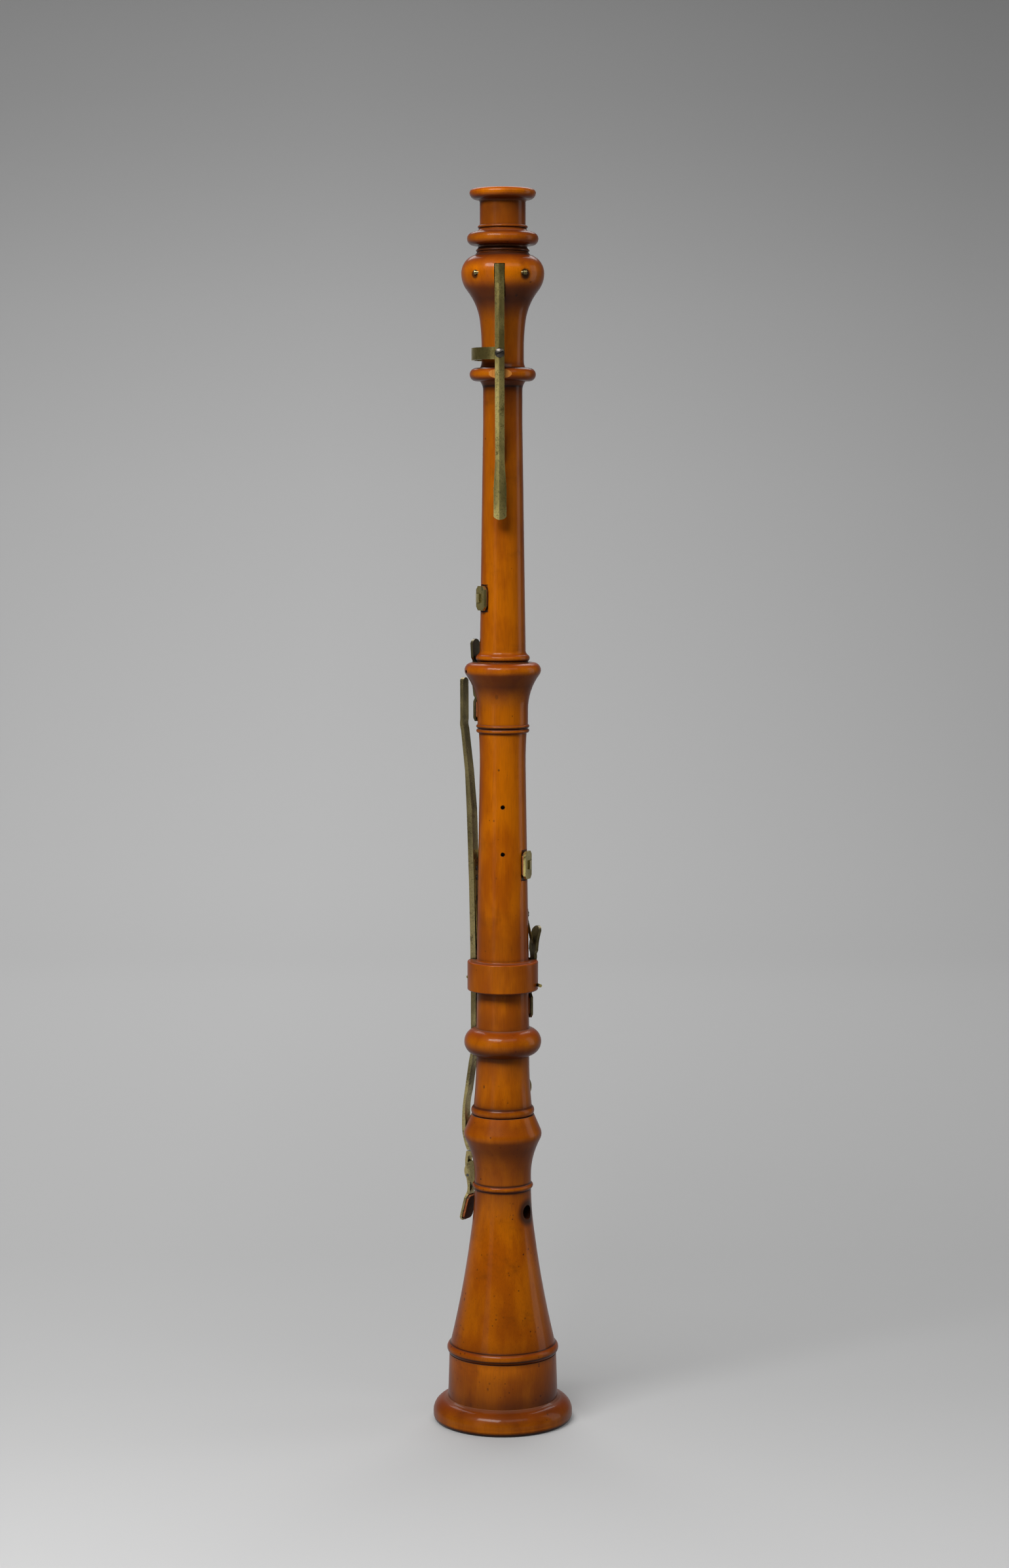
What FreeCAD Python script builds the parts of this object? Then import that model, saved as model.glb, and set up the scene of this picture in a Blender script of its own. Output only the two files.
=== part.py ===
import FreeCAD, Part

import math
import os
import re

import Sketcher

# An early nineteenth century oboe in three turned joints of stained boxwood, with brass
# keys hung in turned rings or on screwed saddles. It stands on its bell. The origin is the
# centre of the bell's rim on the floor, +Z runs up the bore, and -Y is the thumb side.
# Azimuths are degrees round the tube from the thumb side, towards +X. Lengths are in mm.
# On each joint a height is measured from its foot and a drop from its upper end.

doc = FreeCAD.newDocument("oboe")
sheet = doc.addObject("Spreadsheet::Sheet", "sizes")
names = []
pieces = []
heights = {}


def cell(name):
    """The cell of a length, which goes into the sheet when something is first sized by it."""
    if name not in names:
        names.append(name)
        row = len(names)
        sheet.set(f"A{row}", f"'{name}")
        sheet.set(f"B{row}", str(globals()[name]))
        sheet.setAlias(f"B{row}", name)
        sheet.recompute()
    return f"sizes.{name}"


def cells(text):
    """The expression with each length pointed at its cell and each worked-out place spelled out."""
    def spelled(match):
        word = match.group()
        held = heights.get(word, globals().get(word))
        if isinstance(held, str):
            return f"({cells(held)})"
        return cell(word) if isinstance(held, float) else word
    return re.sub(r"[a-z_]+", spelled, text)


def value(text):
    return float(sheet.evalExpression(cells(text)))


def bind(thing, **properties):
    """Tie properties of a document object to expressions of the sizes."""
    for name, text in properties.items():
        thing.setExpression(name, cells(text))
    return thing


def at(foot, azimuth="90"):
    """A frame at a joint's foot whose +X points outward at the azimuth."""
    return f"placement(vector(0; 0; {foot}); rotationz({azimuth} - 90))"


def spot(radius, along, height, turn="rotationz(0)"):
    """A place inside such a frame: out from the axis, along the tangent, and up."""
    return f"placement(vector({radius}; {along}; {height}); {turn})"


def add_loop(sketch, loop):
    """One closed outline: (u, v) runs straight there, (u, v, radius, turn) on an arc."""
    points = [(value(step[0]), value(step[1])) for step in loop]
    edges, ends = [], []
    for index, step in enumerate(loop):
        start = FreeCAD.Vector(*points[index - 1], 0)
        end = FreeCAD.Vector(*points[index], 0)
        if len(step) == 2:
            edges.append(Part.LineSegment(start, end))
            ends.append((1, 2))
            continue
        radius, turn = value(step[2]), step[3]
        chord = end - start
        side = FreeCAD.Vector(-chord.y, chord.x, 0).normalize() * turn
        reach = math.sqrt(max(radius**2 - chord.Length**2 / 4, 0))
        centre = (start + end) * 0.5 + side * reach
        circle = Part.Circle(centre, FreeCAD.Vector(0, 0, 1), radius)
        first, last = (start, end) if turn > 0 else (end, start)
        from_angle = math.atan2(first.y - centre.y, first.x - centre.x)
        to_angle = math.atan2(last.y - centre.y, last.x - centre.x)
        edges.append(Part.ArcOfCircle(circle, from_angle, to_angle))
        ends.append((1, 2) if turn > 0 else (2, 1))
    first_edge = sketch.addGeometry(edges, False)[0]
    rules, texts = [], []
    for index, step in enumerate(loop):
        edge, (_, tail) = first_edge + index, ends[index]
        following = (index + 1) % len(loop)
        start = ends[following][0]
        rules.append(Sketcher.Constraint("Coincident", edge, tail, first_edge + following, start))
        texts.append(None)
        for kind, text in (("DistanceX", step[0]), ("DistanceY", step[1])):
            rules.append(Sketcher.Constraint(kind, edge, tail, value(text)))
            texts.append(text)
        if len(step) > 2:
            rules.append(Sketcher.Constraint("Radius", edge, value(step[2])))
            texts.append(step[2])
    for index, text in zip(sketch.addConstraint(rules), texts):
        if text is not None:
            sketch.setExpression(f"Constraints[{index}]", cells(text))


def add_circle(sketch, u, v, radius):
    """One full circle, held by its centre and radius."""
    centre = FreeCAD.Vector(value(u), value(v), 0)
    edge = sketch.addGeometry(Part.Circle(centre, FreeCAD.Vector(0, 0, 1), value(radius)), False)
    rules = [Sketcher.Constraint("DistanceX", edge, 3, centre.x),
             Sketcher.Constraint("DistanceY", edge, 3, centre.y),
             Sketcher.Constraint("Radius", edge, value(radius))]
    for index, text in zip(sketch.addConstraint(rules), (u, v, radius)):
        sketch.setExpression(f"Constraints[{index}]", cells(text))


def draw(body, role, *loops):
    """A sketch on one of the body's own planes: XZ is a side view, YZ a front view."""
    plane = next(feature for feature in body.Origin.OriginFeatures if feature.Role == role)
    sketch = body.newObject("Sketcher::SketchObject", "outline")
    sketch.AttachmentSupport = (plane, [""])
    sketch.MapMode = "FlatFace"
    for loop in loops:
        if len(loop) == 3 and isinstance(loop[0], str):
            add_circle(sketch, *loop)
        else:
            add_loop(sketch, loop)
    return sketch


def turned(name, loop):
    """A body turned on the lathe: a half section revolved about the bore."""
    body = doc.addObject("PartDesign::Body", name)
    sketch = draw(body, "XZ_Plane", loop)
    turning = body.newObject("PartDesign::Revolution", "turning")
    turning.Profile = (sketch, [""])
    turning.ReferenceAxis = (sketch, ["V_Axis"])
    turning.Angle = 360
    return body


def padded(name, role, width, *loops):
    """A body cut from plate: an outline thickened evenly to both sides of its plane."""
    body = doc.addObject("PartDesign::Body", name)
    sketch = draw(body, role, *loops)
    pad = body.newObject("PartDesign::Pad", "plate")
    pad.Profile = (sketch, [""])
    pad.SideType = "Symmetric"
    bind(pad, Length=width)
    return body


def trimmed(body, outline, margin):
    """File a body to an outline seen from outside: all beyond it is cut away."""
    low = min((step[1] for step in outline), key=value)
    high = max((step[1] for step in outline), key=value)
    frame = [(f"-({margin})", f"{low} - ({margin})"), (margin, f"{low} - ({margin})"),
             (margin, f"{high} + {margin}"), (f"-({margin})", f"{high} + {margin}")]
    sketch = draw(body, "YZ_Plane", frame, outline)
    filing = body.newObject("PartDesign::Pocket", "filing")
    filing.Profile = (sketch, [""])
    filing.Type = "ThroughAll"
    filing.Reversed = True
    return body


def primitive(kind, placement, **properties):
    """A Part primitive sized and placed by expressions."""
    return bind(doc.addObject(f"Part::{kind}", kind.lower()), Placement=placement, **properties)


def rod(placement, radius, length):
    return primitive("Cylinder", placement, Radius=radius, Height=length)


def block(frame, radius, height, depth, width, tall):
    """A box centred on its frame's outward axis, from a radius outward, from a height up."""
    return primitive("Box", f"{frame} * {spot(radius, f'-({width}) / 2', height)}",
                     Length=depth, Width=width, Height=tall)


def radial_rod(frame, radius, along, height, size, length):
    """A rod pointing outward from the bore."""
    return rod(f"{frame} * {spot(radius, along, height, 'rotationy(90)')}", size, length)


def tangent_rod(frame, radius, height, size, start, length):
    """A rod along the tangent, as a pivot pin lies in a turned ring."""
    return rod(f"{frame} * {spot(radius, start, height, 'rotationx(-90)')}", size, length)


def upright_rod(frame, radius, along, height, size, length):
    return rod(f"{frame} * {spot(radius, along, height)}", size, length)


def fused(name, *things):
    fuse = doc.addObject("Part::MultiFuse", name)
    fuse.Shapes = list(things)
    return fuse


def cut(name, base, *tools):
    """A piece less everything that is bored, sawn or filed out of it."""
    result = doc.addObject("Part::Cut", name)
    result.Base = base
    result.Tool = tools[0] if len(tools) == 1 else fused("removed", *tools)
    return result


def grouped(name, *things):
    """Like fasteners kept together as separate solids."""
    group = doc.addObject("Part::Compound", name)
    group.Links = list(things)
    return group


def node(name, thing):
    """Name a finished sub-part; its file takes the same name."""
    thing.Label = name
    pieces.append(thing)
    return thing


def rise_radius(half, rise):
    """Radius of an arc of a given half chord that stands a given rise off its chord."""
    return f"((({half})^2 + ({rise})^2) / (2 * ({rise})))"


def bead(height, half, root, crest):
    """Two steps of a turned outline: up to a bead's lower quirk, then round its crest."""
    radius = rise_radius(half, f"{crest} - {root}")
    return [(root, f"{height} - {half}"), (root, f"{height} + {half}", radius, 1)]


# The three joints and their fit
bell_length = 142.9
lower_length = 207.5
upper_length = 211.4
joint_gap = 0.1
running_clearance = 0.05
tenon_clearance = 0.1
key_clearance = 0.3
cut_overrun = 4.0

# What stands nearer the upper end of its joint is measured down from there, as its drop
from_the_top = {
    "bell": ("resonance", "flare_middle", "flare_top", "waist_bead", "cup_foot", "cup_ridge_foot",
             "cup_ridge_top", "bell_key_pivot", "bell_saddle_foot", "bell_ear_centre", "bell_spring_foot",
             "bell_spring_top"),
    "lower": ("body_top", "twin_bead", "socket_neck", "socket_ring_foot", "fourth_hole", "gsharp_pivot",
              "gsharp_slot", "low_b_top"),
    "upper": ("barrel_top", "barrel_neck", "grip_ring", "bulb_neck_foot", "bulb_neck_top", "bulb_low",
              "bulb_turn", "bulb", "bulb_crown", "crown_bead", "head_ring", "head_bead", "flange_foot",
              "flange_edge", "octave_pivot", "octave_touch", "octave_neck", "octave_slot", "band",
              "octave_spring_foot", "octave_spring_top"),
}
for joint, places in from_the_top.items():
    for place in places:
        heights[f"{place}_height"] = f"{joint}_length - {place}_drop"

# Bell, outside
rim_radius = 32.1
rim_foot_radius = 30.7
rim_height = 3.0
rim_foot_round_radius = 3.0
rim_round_radius = 6.6
rim_neck_radius = 26.6
rim_neck_height = 10.3
drum_foot_radius = 25.35
drum_foot_height = 10.9
drum_top_radius = 24.7
drum_top_height = 31.2
drum_bead_radius = 25.7
drum_bead_root_radius = 24.3
drum_bead_height = 33.8
drum_bead_half = 2.4
flare_foot_radius = 23.95
flare_foot_height = 36.9
flare_middle_radius = 14.75
flare_middle_drop = 55.9
flare_top_drop = 36.3
flare_curve_radius = 480.0
flare_top_curve_radius = 150.0
waist_radius = 13.05
waist_bead_radius = 13.98
waist_bead_drop = 33.0
waist_bead_half = 1.3
cup_foot_drop = 30.5
cup_curve_radius = 37.2
cup_ridge_foot_radius = 17.25
cup_ridge_foot_drop = 11.3
cup_ridge_top_radius = 17.45
cup_ridge_top_drop = 7.0
cup_ridge_round_radius = 4.9
bell_mouth_radius = 14.45
bell_key_pivot_drop = 29.9

# Bell, inside
lip_radius = 19.6
lip_height = 5.0
hollow_foot_radius = 21.4
hollow_foot_height = 6.6
bell_bore_low_radius = 20.4
bell_bore_low_height = 15.0
bell_bore_top_radius = 8.9
bell_bore_curve_radius = 420.0
bell_socket_radius = 10.7
bell_socket_depth = 20.3
resonance_radius = 3.3
resonance_drop = 44.4

# Lower joint, outside
foot_bead_radius = 14.5
foot_bead_root_radius = 13.7
foot_bead_half = 1.9
foot_neck_radius = 13.3
foot_neck_height = 4.3
foot_neck_curve_radius = 222.0
bulge_neck_radius = 12.15
bulge_radius = 17.67
bulge_height = 33.8
bulge_half = 6.3
collar_neck_radius = 11.85
collar_radius = 16.2
collar_foot = 57.7
collar_top = 71.1
collar_round_radius = 0.7
collar_cove = 0.9
body_foot_radius = 11.9
body_top_radius = 10.45
body_top_drop = 47.5
body_flare_curve_radius = 180.0
twin_bead_radius = 12.1
twin_bead_root_radius = 11.25
twin_bead_neck_radius = 10.9
twin_bead_half = 0.9
twin_bead_drop = 31.8
twin_bead_gap = 0.25
socket_neck_radius = 11.5
socket_neck_drop = 21.5
socket_flare_curve_radius = 27.0
socket_ring_foot_radius = 16.75
socket_ring_foot_drop = 5.4
socket_ring_curve_radius = 3.47
socket_mouth_radius = 13.6

# Lower joint, inside
upper_socket_radius = 8.5
upper_socket_depth = 17.3
lower_bore_foot_radius = 7.4
middle_bore_radius = 4.9
lower_tenon_radius = 10.4
lower_tenon_length = 20.0
lower_lapping_floor = 9.4
lower_lapping_foot = 17.2
lower_lapping_top = 3.0

# Upper joint, outside
heel_radius = 11.7
heel_height = 0.5
heel_bead_radius = 12.25
heel_bead_root_radius = 11.4
heel_bead_half = 1.45
heel_cove_curve_radius = 2.6
barrel_foot_radius = 10.4
barrel_foot_height = 5.5
barrel_top_radius = 8.87
barrel_top_drop = 103.9
barrel_neck_drop = 89.2
grip_ring_radius = 15.0
grip_ring_root_radius = 12.0
grip_ring_drop = 82.2
grip_ring_half = 2.95
grip_ring_neck_radius = 10.3
grip_cove_curve_radius = 5.9
bulb_neck_radius = 9.5
bulb_neck_foot_drop = 76.0
bulb_neck_top_drop = 71.9
bulb_low_radius = 10.3
bulb_low_drop = 58.2
bulb_low_curve_radius = 92.0
bulb_turn_radius = 15.84
bulb_turn_drop = 45.1
bulb_hollow_curve_radius = 27.4
bulb_radius = 18.63
bulb_drop = 37.2
bulb_under_curve_radius = 12.35
bulb_crown_radius = 12.2
bulb_crown_drop = 29.0
bulb_over_curve_radius = 8.57
crown_bead_radius = 12.0
crown_bead_root_radius = 11.5
crown_bead_half = 0.6
crown_bead_drop = 27.25
head_cove_radius = 11.0
head_ring_radius = 16.0
head_ring_root_radius = 13.15
head_ring_drop = 22.0
head_ring_half = 2.9
head_bead_radius = 11.2
head_bead_root_radius = 10.6
head_bead_drop = 16.8
head_bead_half = 0.7
head_scotia_radius = 2.4
head_neck_radius = 10.26
flange_radius = 14.86
flange_foot_radius = 11.6
flange_foot_drop = 4.7
flange_edge_drop = 1.7
flange_under_curve_radius = 3.1
flange_top_radius = 12.9
flange_top_curve_radius = 1.9
flange_cove = 1.2
flange_cove_curve_radius = 1.4
head_cove = 0.9

# Upper joint, inside
reed_well_radius = 3.4
reed_well_depth = 20.0
bore_top_radius = 2.4
upper_tenon_radius = 8.2
upper_tenon_length = 17.0
upper_lapping_floor = 7.2
upper_lapping_foot = 14.4
upper_lapping_top = 3.0

# Finger holes and thumb-rest holes
first_hole_radius = 1.7
first_hole_height = 69.4
second_hole_radius = 1.8
second_hole_height = 44.0
twin_hole_radius = 1.2
twin_hole_pitch = 3.7
third_hole_height = 11.0
fourth_hole_drop = 51.5
fifth_hole_radius = 2.3
fifth_hole_height = 131.0
sixth_hole_radius = 2.2
sixth_hole_height = 97.5
rest_hole_radius = 1.0
rest_hole_depth = 4.0
rest_hole_height = 121.1
rest_hole_pitch = 21.4

# Pads, seats, pins and springs
seat_depth = 0.7
pad_gap = 0.05
pad_thickness = 1.0
pad_inset = 0.3
plate_thickness = 1.1
plate_corner = 1.6
tone_hole_radius = 2.3
pin_radius = 0.75
pin_boss_radius = 1.5
lever_width = 5.0
spring_thickness = 0.4
spring_width = 3.0
small_screw_radius = 0.7
small_screw_head_radius = 1.3
small_screw_head = 0.5
small_screw_length = 3.0
screw_slot_width = 0.4
screw_slot_depth = 0.3

# Bell: one turning with a rolled rim, a drum, a long flare and a cupped socket
bell_blank = turned("bell_blank", [
    ("lip_radius", "0"),
    ("rim_foot_radius", "0"),
    ("rim_radius", "rim_height", "rim_foot_round_radius", 1),
    ("rim_neck_radius", "rim_neck_height", "rim_round_radius", 1),
    ("drum_foot_radius", "drum_foot_height"),
    ("drum_top_radius", "drum_top_height"),
    *bead("drum_bead_height", "drum_bead_half", "drum_bead_root_radius", "drum_bead_radius"),
    ("flare_foot_radius", "flare_foot_height"),
    ("flare_middle_radius", "flare_middle_height", "flare_curve_radius", -1),
    ("waist_radius", "flare_top_height", "flare_top_curve_radius", -1),
    *bead("waist_bead_height", "waist_bead_half", "waist_radius", "waist_bead_radius"),
    ("waist_radius", "cup_foot_height"),
    ("cup_ridge_foot_radius", "cup_ridge_foot_height", "cup_curve_radius", -1),
    ("cup_ridge_top_radius", "cup_ridge_top_height", "cup_ridge_round_radius", 1),
    ("bell_mouth_radius", "bell_length"),
    ("bell_socket_radius", "bell_length"),
    ("bell_socket_radius", "bell_length - bell_socket_depth"),
    ("bell_bore_top_radius", "bell_length - bell_socket_depth"),
    ("bell_bore_low_radius", "bell_bore_low_height", "bell_bore_curve_radius", 1),
    ("hollow_foot_radius", "hollow_foot_height"),
    ("lip_radius", "lip_height"),
])

# Lower joint: tenon, foot bead, key bulge, key collar, body, twin beads and flared socket
lower_blank = turned("lower_blank", [
    ("lower_bore_foot_radius", "-lower_tenon_length"),
    ("lower_tenon_radius", "-lower_tenon_length"),
    ("lower_tenon_radius", "-lower_lapping_foot"),
    ("lower_lapping_floor", "-lower_lapping_foot"),
    ("lower_lapping_floor", "-lower_lapping_top"),
    ("lower_tenon_radius", "-lower_lapping_top"),
    ("lower_tenon_radius", "0"),
    *bead("foot_bead_half", "foot_bead_half", "foot_bead_root_radius", "foot_bead_radius"),
    ("foot_neck_radius", "foot_neck_height"),
    ("bulge_neck_radius", "bulge_height - bulge_half", "foot_neck_curve_radius", -1),
    bead("bulge_height", "bulge_half", "bulge_neck_radius", "bulge_radius")[1],
    ("collar_neck_radius", "collar_foot - collar_cove"),
    ("collar_neck_radius + collar_cove", "collar_foot", "collar_cove", -1),
    ("collar_radius - collar_round_radius", "collar_foot"),
    ("collar_radius", "collar_foot + collar_round_radius", "collar_round_radius", 1),
    ("collar_radius", "collar_top - collar_round_radius"),
    ("collar_radius - collar_round_radius", "collar_top", "collar_round_radius", 1),
    ("body_foot_radius + collar_cove", "collar_top"),
    ("body_foot_radius", "collar_top + collar_cove", "collar_cove", -1),
    ("body_top_radius", "body_top_height"),
    ("twin_bead_neck_radius", "twin_bead_height", "body_flare_curve_radius", -1),
    *bead("twin_bead_height + twin_bead_half", "twin_bead_half", "twin_bead_root_radius", "twin_bead_radius"),
    *bead("twin_bead_height + 3 * twin_bead_half + twin_bead_gap", "twin_bead_half",
          "twin_bead_root_radius", "twin_bead_radius"),
    ("socket_neck_radius", "twin_bead_height + 4 * twin_bead_half + twin_bead_gap"),
    ("socket_neck_radius", "socket_neck_height"),
    ("socket_ring_foot_radius", "socket_ring_foot_height", "socket_flare_curve_radius", -1),
    ("socket_mouth_radius", "lower_length", "socket_ring_curve_radius", 1),
    ("upper_socket_radius", "lower_length"),
    ("upper_socket_radius", "lower_length - upper_socket_depth"),
    ("middle_bore_radius", "lower_length - upper_socket_depth"),
])

# Upper joint: tenon, heel bead, barrel, grip ring, key bulb, head ring and top flange
upper_blank = turned("upper_blank", [
    ("middle_bore_radius", "-upper_tenon_length"),
    ("upper_tenon_radius", "-upper_tenon_length"),
    ("upper_tenon_radius", "-upper_lapping_foot"),
    ("upper_lapping_floor", "-upper_lapping_foot"),
    ("upper_lapping_floor", "-upper_lapping_top"),
    ("upper_tenon_radius", "-upper_lapping_top"),
    ("upper_tenon_radius", "0"),
    ("heel_radius", "0"),
    *bead("heel_height + heel_bead_half", "heel_bead_half", "heel_bead_root_radius", "heel_bead_radius"),
    ("barrel_foot_radius", "barrel_foot_height", "heel_cove_curve_radius", -1),
    ("barrel_top_radius", "barrel_top_height"),
    ("barrel_top_radius", "barrel_neck_height"),
    ("grip_ring_neck_radius", "grip_ring_height - grip_ring_half", "grip_cove_curve_radius", -1),
    *bead("grip_ring_height", "grip_ring_half", "grip_ring_root_radius", "grip_ring_radius"),
    ("grip_ring_neck_radius", "grip_ring_height + grip_ring_half"),
    ("bulb_neck_radius", "bulb_neck_foot_height", "grip_cove_curve_radius", -1),
    ("bulb_neck_radius", "bulb_neck_top_height"),
    ("bulb_low_radius", "bulb_low_height", "bulb_low_curve_radius", -1),
    ("bulb_turn_radius", "bulb_turn_height", "bulb_hollow_curve_radius", -1),
    ("bulb_radius", "bulb_height", "bulb_under_curve_radius", 1),
    ("bulb_crown_radius", "bulb_crown_height", "bulb_over_curve_radius", 1),
    *bead("crown_bead_height", "crown_bead_half", "crown_bead_root_radius", "crown_bead_radius"),
    ("head_cove_radius", "head_ring_height - head_ring_half - head_cove"),
    ("head_cove_radius + head_cove", "head_ring_height - head_ring_half", "head_cove", -1),
    *bead("head_ring_height", "head_ring_half", "head_ring_root_radius", "head_ring_radius"),
    ("head_bead_root_radius", "head_bead_height - head_bead_half", "head_scotia_radius", -1),
    bead("head_bead_height", "head_bead_half", "head_bead_root_radius", "head_bead_radius")[1],
    ("head_neck_radius", "head_bead_height + head_bead_half"),
    ("head_neck_radius", "flange_foot_height - flange_cove"),
    ("flange_foot_radius", "flange_foot_height", "flange_cove_curve_radius", -1),
    ("flange_radius", "flange_edge_height", "flange_under_curve_radius", 1),
    ("flange_top_radius", "upper_length", "flange_top_curve_radius", 1),
    ("reed_well_radius", "upper_length"),
    ("reed_well_radius", "upper_length - reed_well_depth"),
    ("bore_top_radius", "upper_length - reed_well_depth"),
])


# Working terms shared by the keys: the feet of the joints and the cuts made in each of them
lower_foot = "(bell_length + joint_gap)"
upper_foot = "(bell_length + lower_length + 2 * joint_gap)"
bell_cuts, lower_cuts, upper_cuts = [], [], []


def barrel_radius(height):
    """Outside radius of the upper joint's tapered barrel at a height above its foot."""
    fall = "(barrel_foot_radius - barrel_top_radius) / (barrel_top_height - barrel_foot_height)"
    return f"(barrel_foot_radius - {fall} * ({height} - barrel_foot_height))"


def body_radius(height):
    """Outside radius of the lower joint's tapered body at a height above its foot."""
    fall = "(body_foot_radius - body_top_radius) / (body_top_height - collar_top)"
    return f"(body_foot_radius - {fall} * ({height} - collar_top))"


def plate_inner(tube):
    """Distance of a closed flap's underside from the bore: its seat, its pad, then the plate."""
    return f"({tube} - seat_depth + pad_gap + pad_thickness)"


def polar(radius, azimuth):
    """A point on a plan of the tube, out from the bore at an azimuth."""
    return (f"({radius}) * sin({azimuth})", f"-({radius}) * cos({azimuth})")


def mirrored(side, tip=()):
    """A symmetrical outline from its right-hand side, listed upward; a tip rounds the top."""
    left, arriving = [], tip
    for step in reversed(side):
        left.append((f"-({step[0]})", step[1], *arriving))
        arriving = step[2:]
    return side + left


def round_end(width):
    """The arc across an end that is rounded by a quarter of its width."""
    return rise_radius(f"{width} / 2", f"{width} / 4"), 1


def plate_side(width, low, high):
    """The right-hand side of a flap with its corners filed off."""
    return [(f"{width} / 2 - plate_corner", low), (f"{width} / 2", f"{low} + plate_corner"),
            (f"{width} / 2", f"{high} - plate_corner"), (f"{width} / 2 - plate_corner", high)]


def shared(key, shares):
    """Outline points as shares of a key's rise from its pivot and of its reach up or down."""
    steps = []
    for out, along, *bend in shares:
        reach = "reach_up" if along > 0 else "reach_down"
        arc = (f"{bend[0]} * {key}_rise", bend[1]) if bend else ()
        steps.append((f"{key}_pivot_radius + {out} * {key}_rise",
                      f"{key}_pivot_height + {along} * {key}_{reach}", *arc))
    return steps


def boss(key):
    """Two steps round the underside of a lever's pivot boss, on a three-four-five triangle."""
    inner = f"{key}_pivot_radius - 0.6 * pin_boss_radius"
    return [(inner, f"{key}_pivot_height + 0.8 * pin_boss_radius"),
            (inner, f"{key}_pivot_height - 0.8 * pin_boss_radius", "pin_boss_radius", 1)]


def pin_eye(key):
    return (f"{key}_pivot_radius", f"{key}_pivot_height", "pin_radius + running_clearance")


def turned_out(frame, key, angle):
    """A frame swung about a key's pivot, so that what lies below the pivot stands off."""
    pivot = spot(f"{key}_pivot_radius", "0", f"{key}_pivot_height", f"rotationy(-{angle})")
    return f"{frame} * {pivot} * {spot(f'-{key}_pivot_radius', '0', f'-{key}_pivot_height')}"


def ring_slot(cuts, frame, key, width, low, high):
    """A slot sawn down into a turned ring for a lever, clear of its pivot boss."""
    floor = f"({key}_pivot_radius - pin_boss_radius - key_clearance)"
    cuts.append(block(frame, floor, low, "bulb_radius", width, f"{high} - ({low})"))


def ring_pin(name, cuts, frame, key, start, length):
    """A pivot pin in a hole bored along a chord of the turned ring."""
    place = (frame, f"{key}_pivot_radius", f"{key}_pivot_height", "pin_radius")
    cuts.append(tangent_rod(*place, f"{start} - cut_overrun", f"{length} + 2 * cut_overrun"))
    return node(name, tangent_rod(*place, start, length))


def seat_and_hole(cuts, frame, height, tube, width, length, hole="tone_hole_radius"):
    """A flat filed on the tube for a pad, and the tone hole bored through its middle."""
    cuts.append(block(frame, f"({tube} - seat_depth)", f"{height} - ({length}) / 2",
                      "bulb_radius", width, length))
    cuts.append(radial_rod(frame, "0", "0", height, hole, "bulb_radius + cut_overrun"))


def pad_block(name, frame, tube, width, low, high):
    """A leather pad under a flap, a little smaller than the flap, resting over its seat."""
    side = plate_side(f"({width} - 2 * pad_inset)", f"({low} + pad_inset)", f"({high} - pad_inset)")
    pad = padded(name, "YZ_Plane", "pad_thickness", mirrored(side))
    middle = f"{tube} - seat_depth + pad_gap + pad_thickness / 2"
    return node(name, bind(pad, Placement=f"{frame} * {spot(middle, '0', '0')}"))


def leaf(name, frame, inner, width="spring_width"):
    """A flat leaf spring in side view, from the line of its inner face, listed upward."""
    outer = [(f"{radius} + spring_thickness", height) for radius, height in reversed(inner)]
    return bind(padded(name, "XZ_Plane", width, inner + outer), Placement=frame)


def small_screw(frame, radius, height):
    """A small slotted screw standing in the wood, its head on whatever it holds down."""
    head = radial_rod(frame, radius, "0", height, "small_screw_head_radius", "small_screw_head")
    shank = radial_rod(frame, f"{radius} - small_screw_length", "0", height, "small_screw_radius",
                       "small_screw_length")
    slot = block(frame, f"{radius} + small_screw_head - screw_slot_depth",
                 f"{height} - screw_slot_width / 2", "cut_overrun", "3 * small_screw_head_radius",
                 "screw_slot_width")
    return cut("small_screw", fused("screw_blank", head, shank), slot)


def screw_hole(frame, radius, height):
    """The hole that a small screw stands in, open through whatever it holds down."""
    return radial_rod(frame, f"{radius} - small_screw_length - running_clearance", "0", height,
                      "small_screw_radius + running_clearance",
                      "small_screw_length + running_clearance + cut_overrun")


# Octave key: a bevelled lever on the thumb side, hung on a screw through the bulb
octave_azimuth = -4.5
octave_pivot_radius = 15.3
octave_pivot_drop = 37.8
octave_rise = 3.3
octave_reach_up = 3.6
octave_reach_down = 109.2
octave_thickness = 1.6
octave_foot_radius = 16.0
octave_lever_width = 4.2
octave_touch_width = 5.8
octave_touch_drop = 133.4
octave_neck_drop = 121.4
octave_ridge_width = 0.6
octave_bevel_angle = 15.0
octave_slot_drop = 55.4
octave_slot_width = 4.8
grip_flat_radius = 14.0
grip_flat_width = 14.0
octave_frame = at(upper_foot, "octave_azimuth")
octave_foot = "(octave_pivot_height - octave_reach_down)"
octave_top = "(octave_pivot_height + octave_reach_up)"
octave_reach = "(octave_reach_up + octave_reach_down)"
octave_lean = f"((octave_pivot_radius + octave_rise - octave_foot_radius) / {octave_reach})"


def octave_outer(height):
    """Radius of the octave lever's outer ridge at a height."""
    return f"(octave_foot_radius + {octave_lean} * ({height} - {octave_foot}))"


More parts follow.
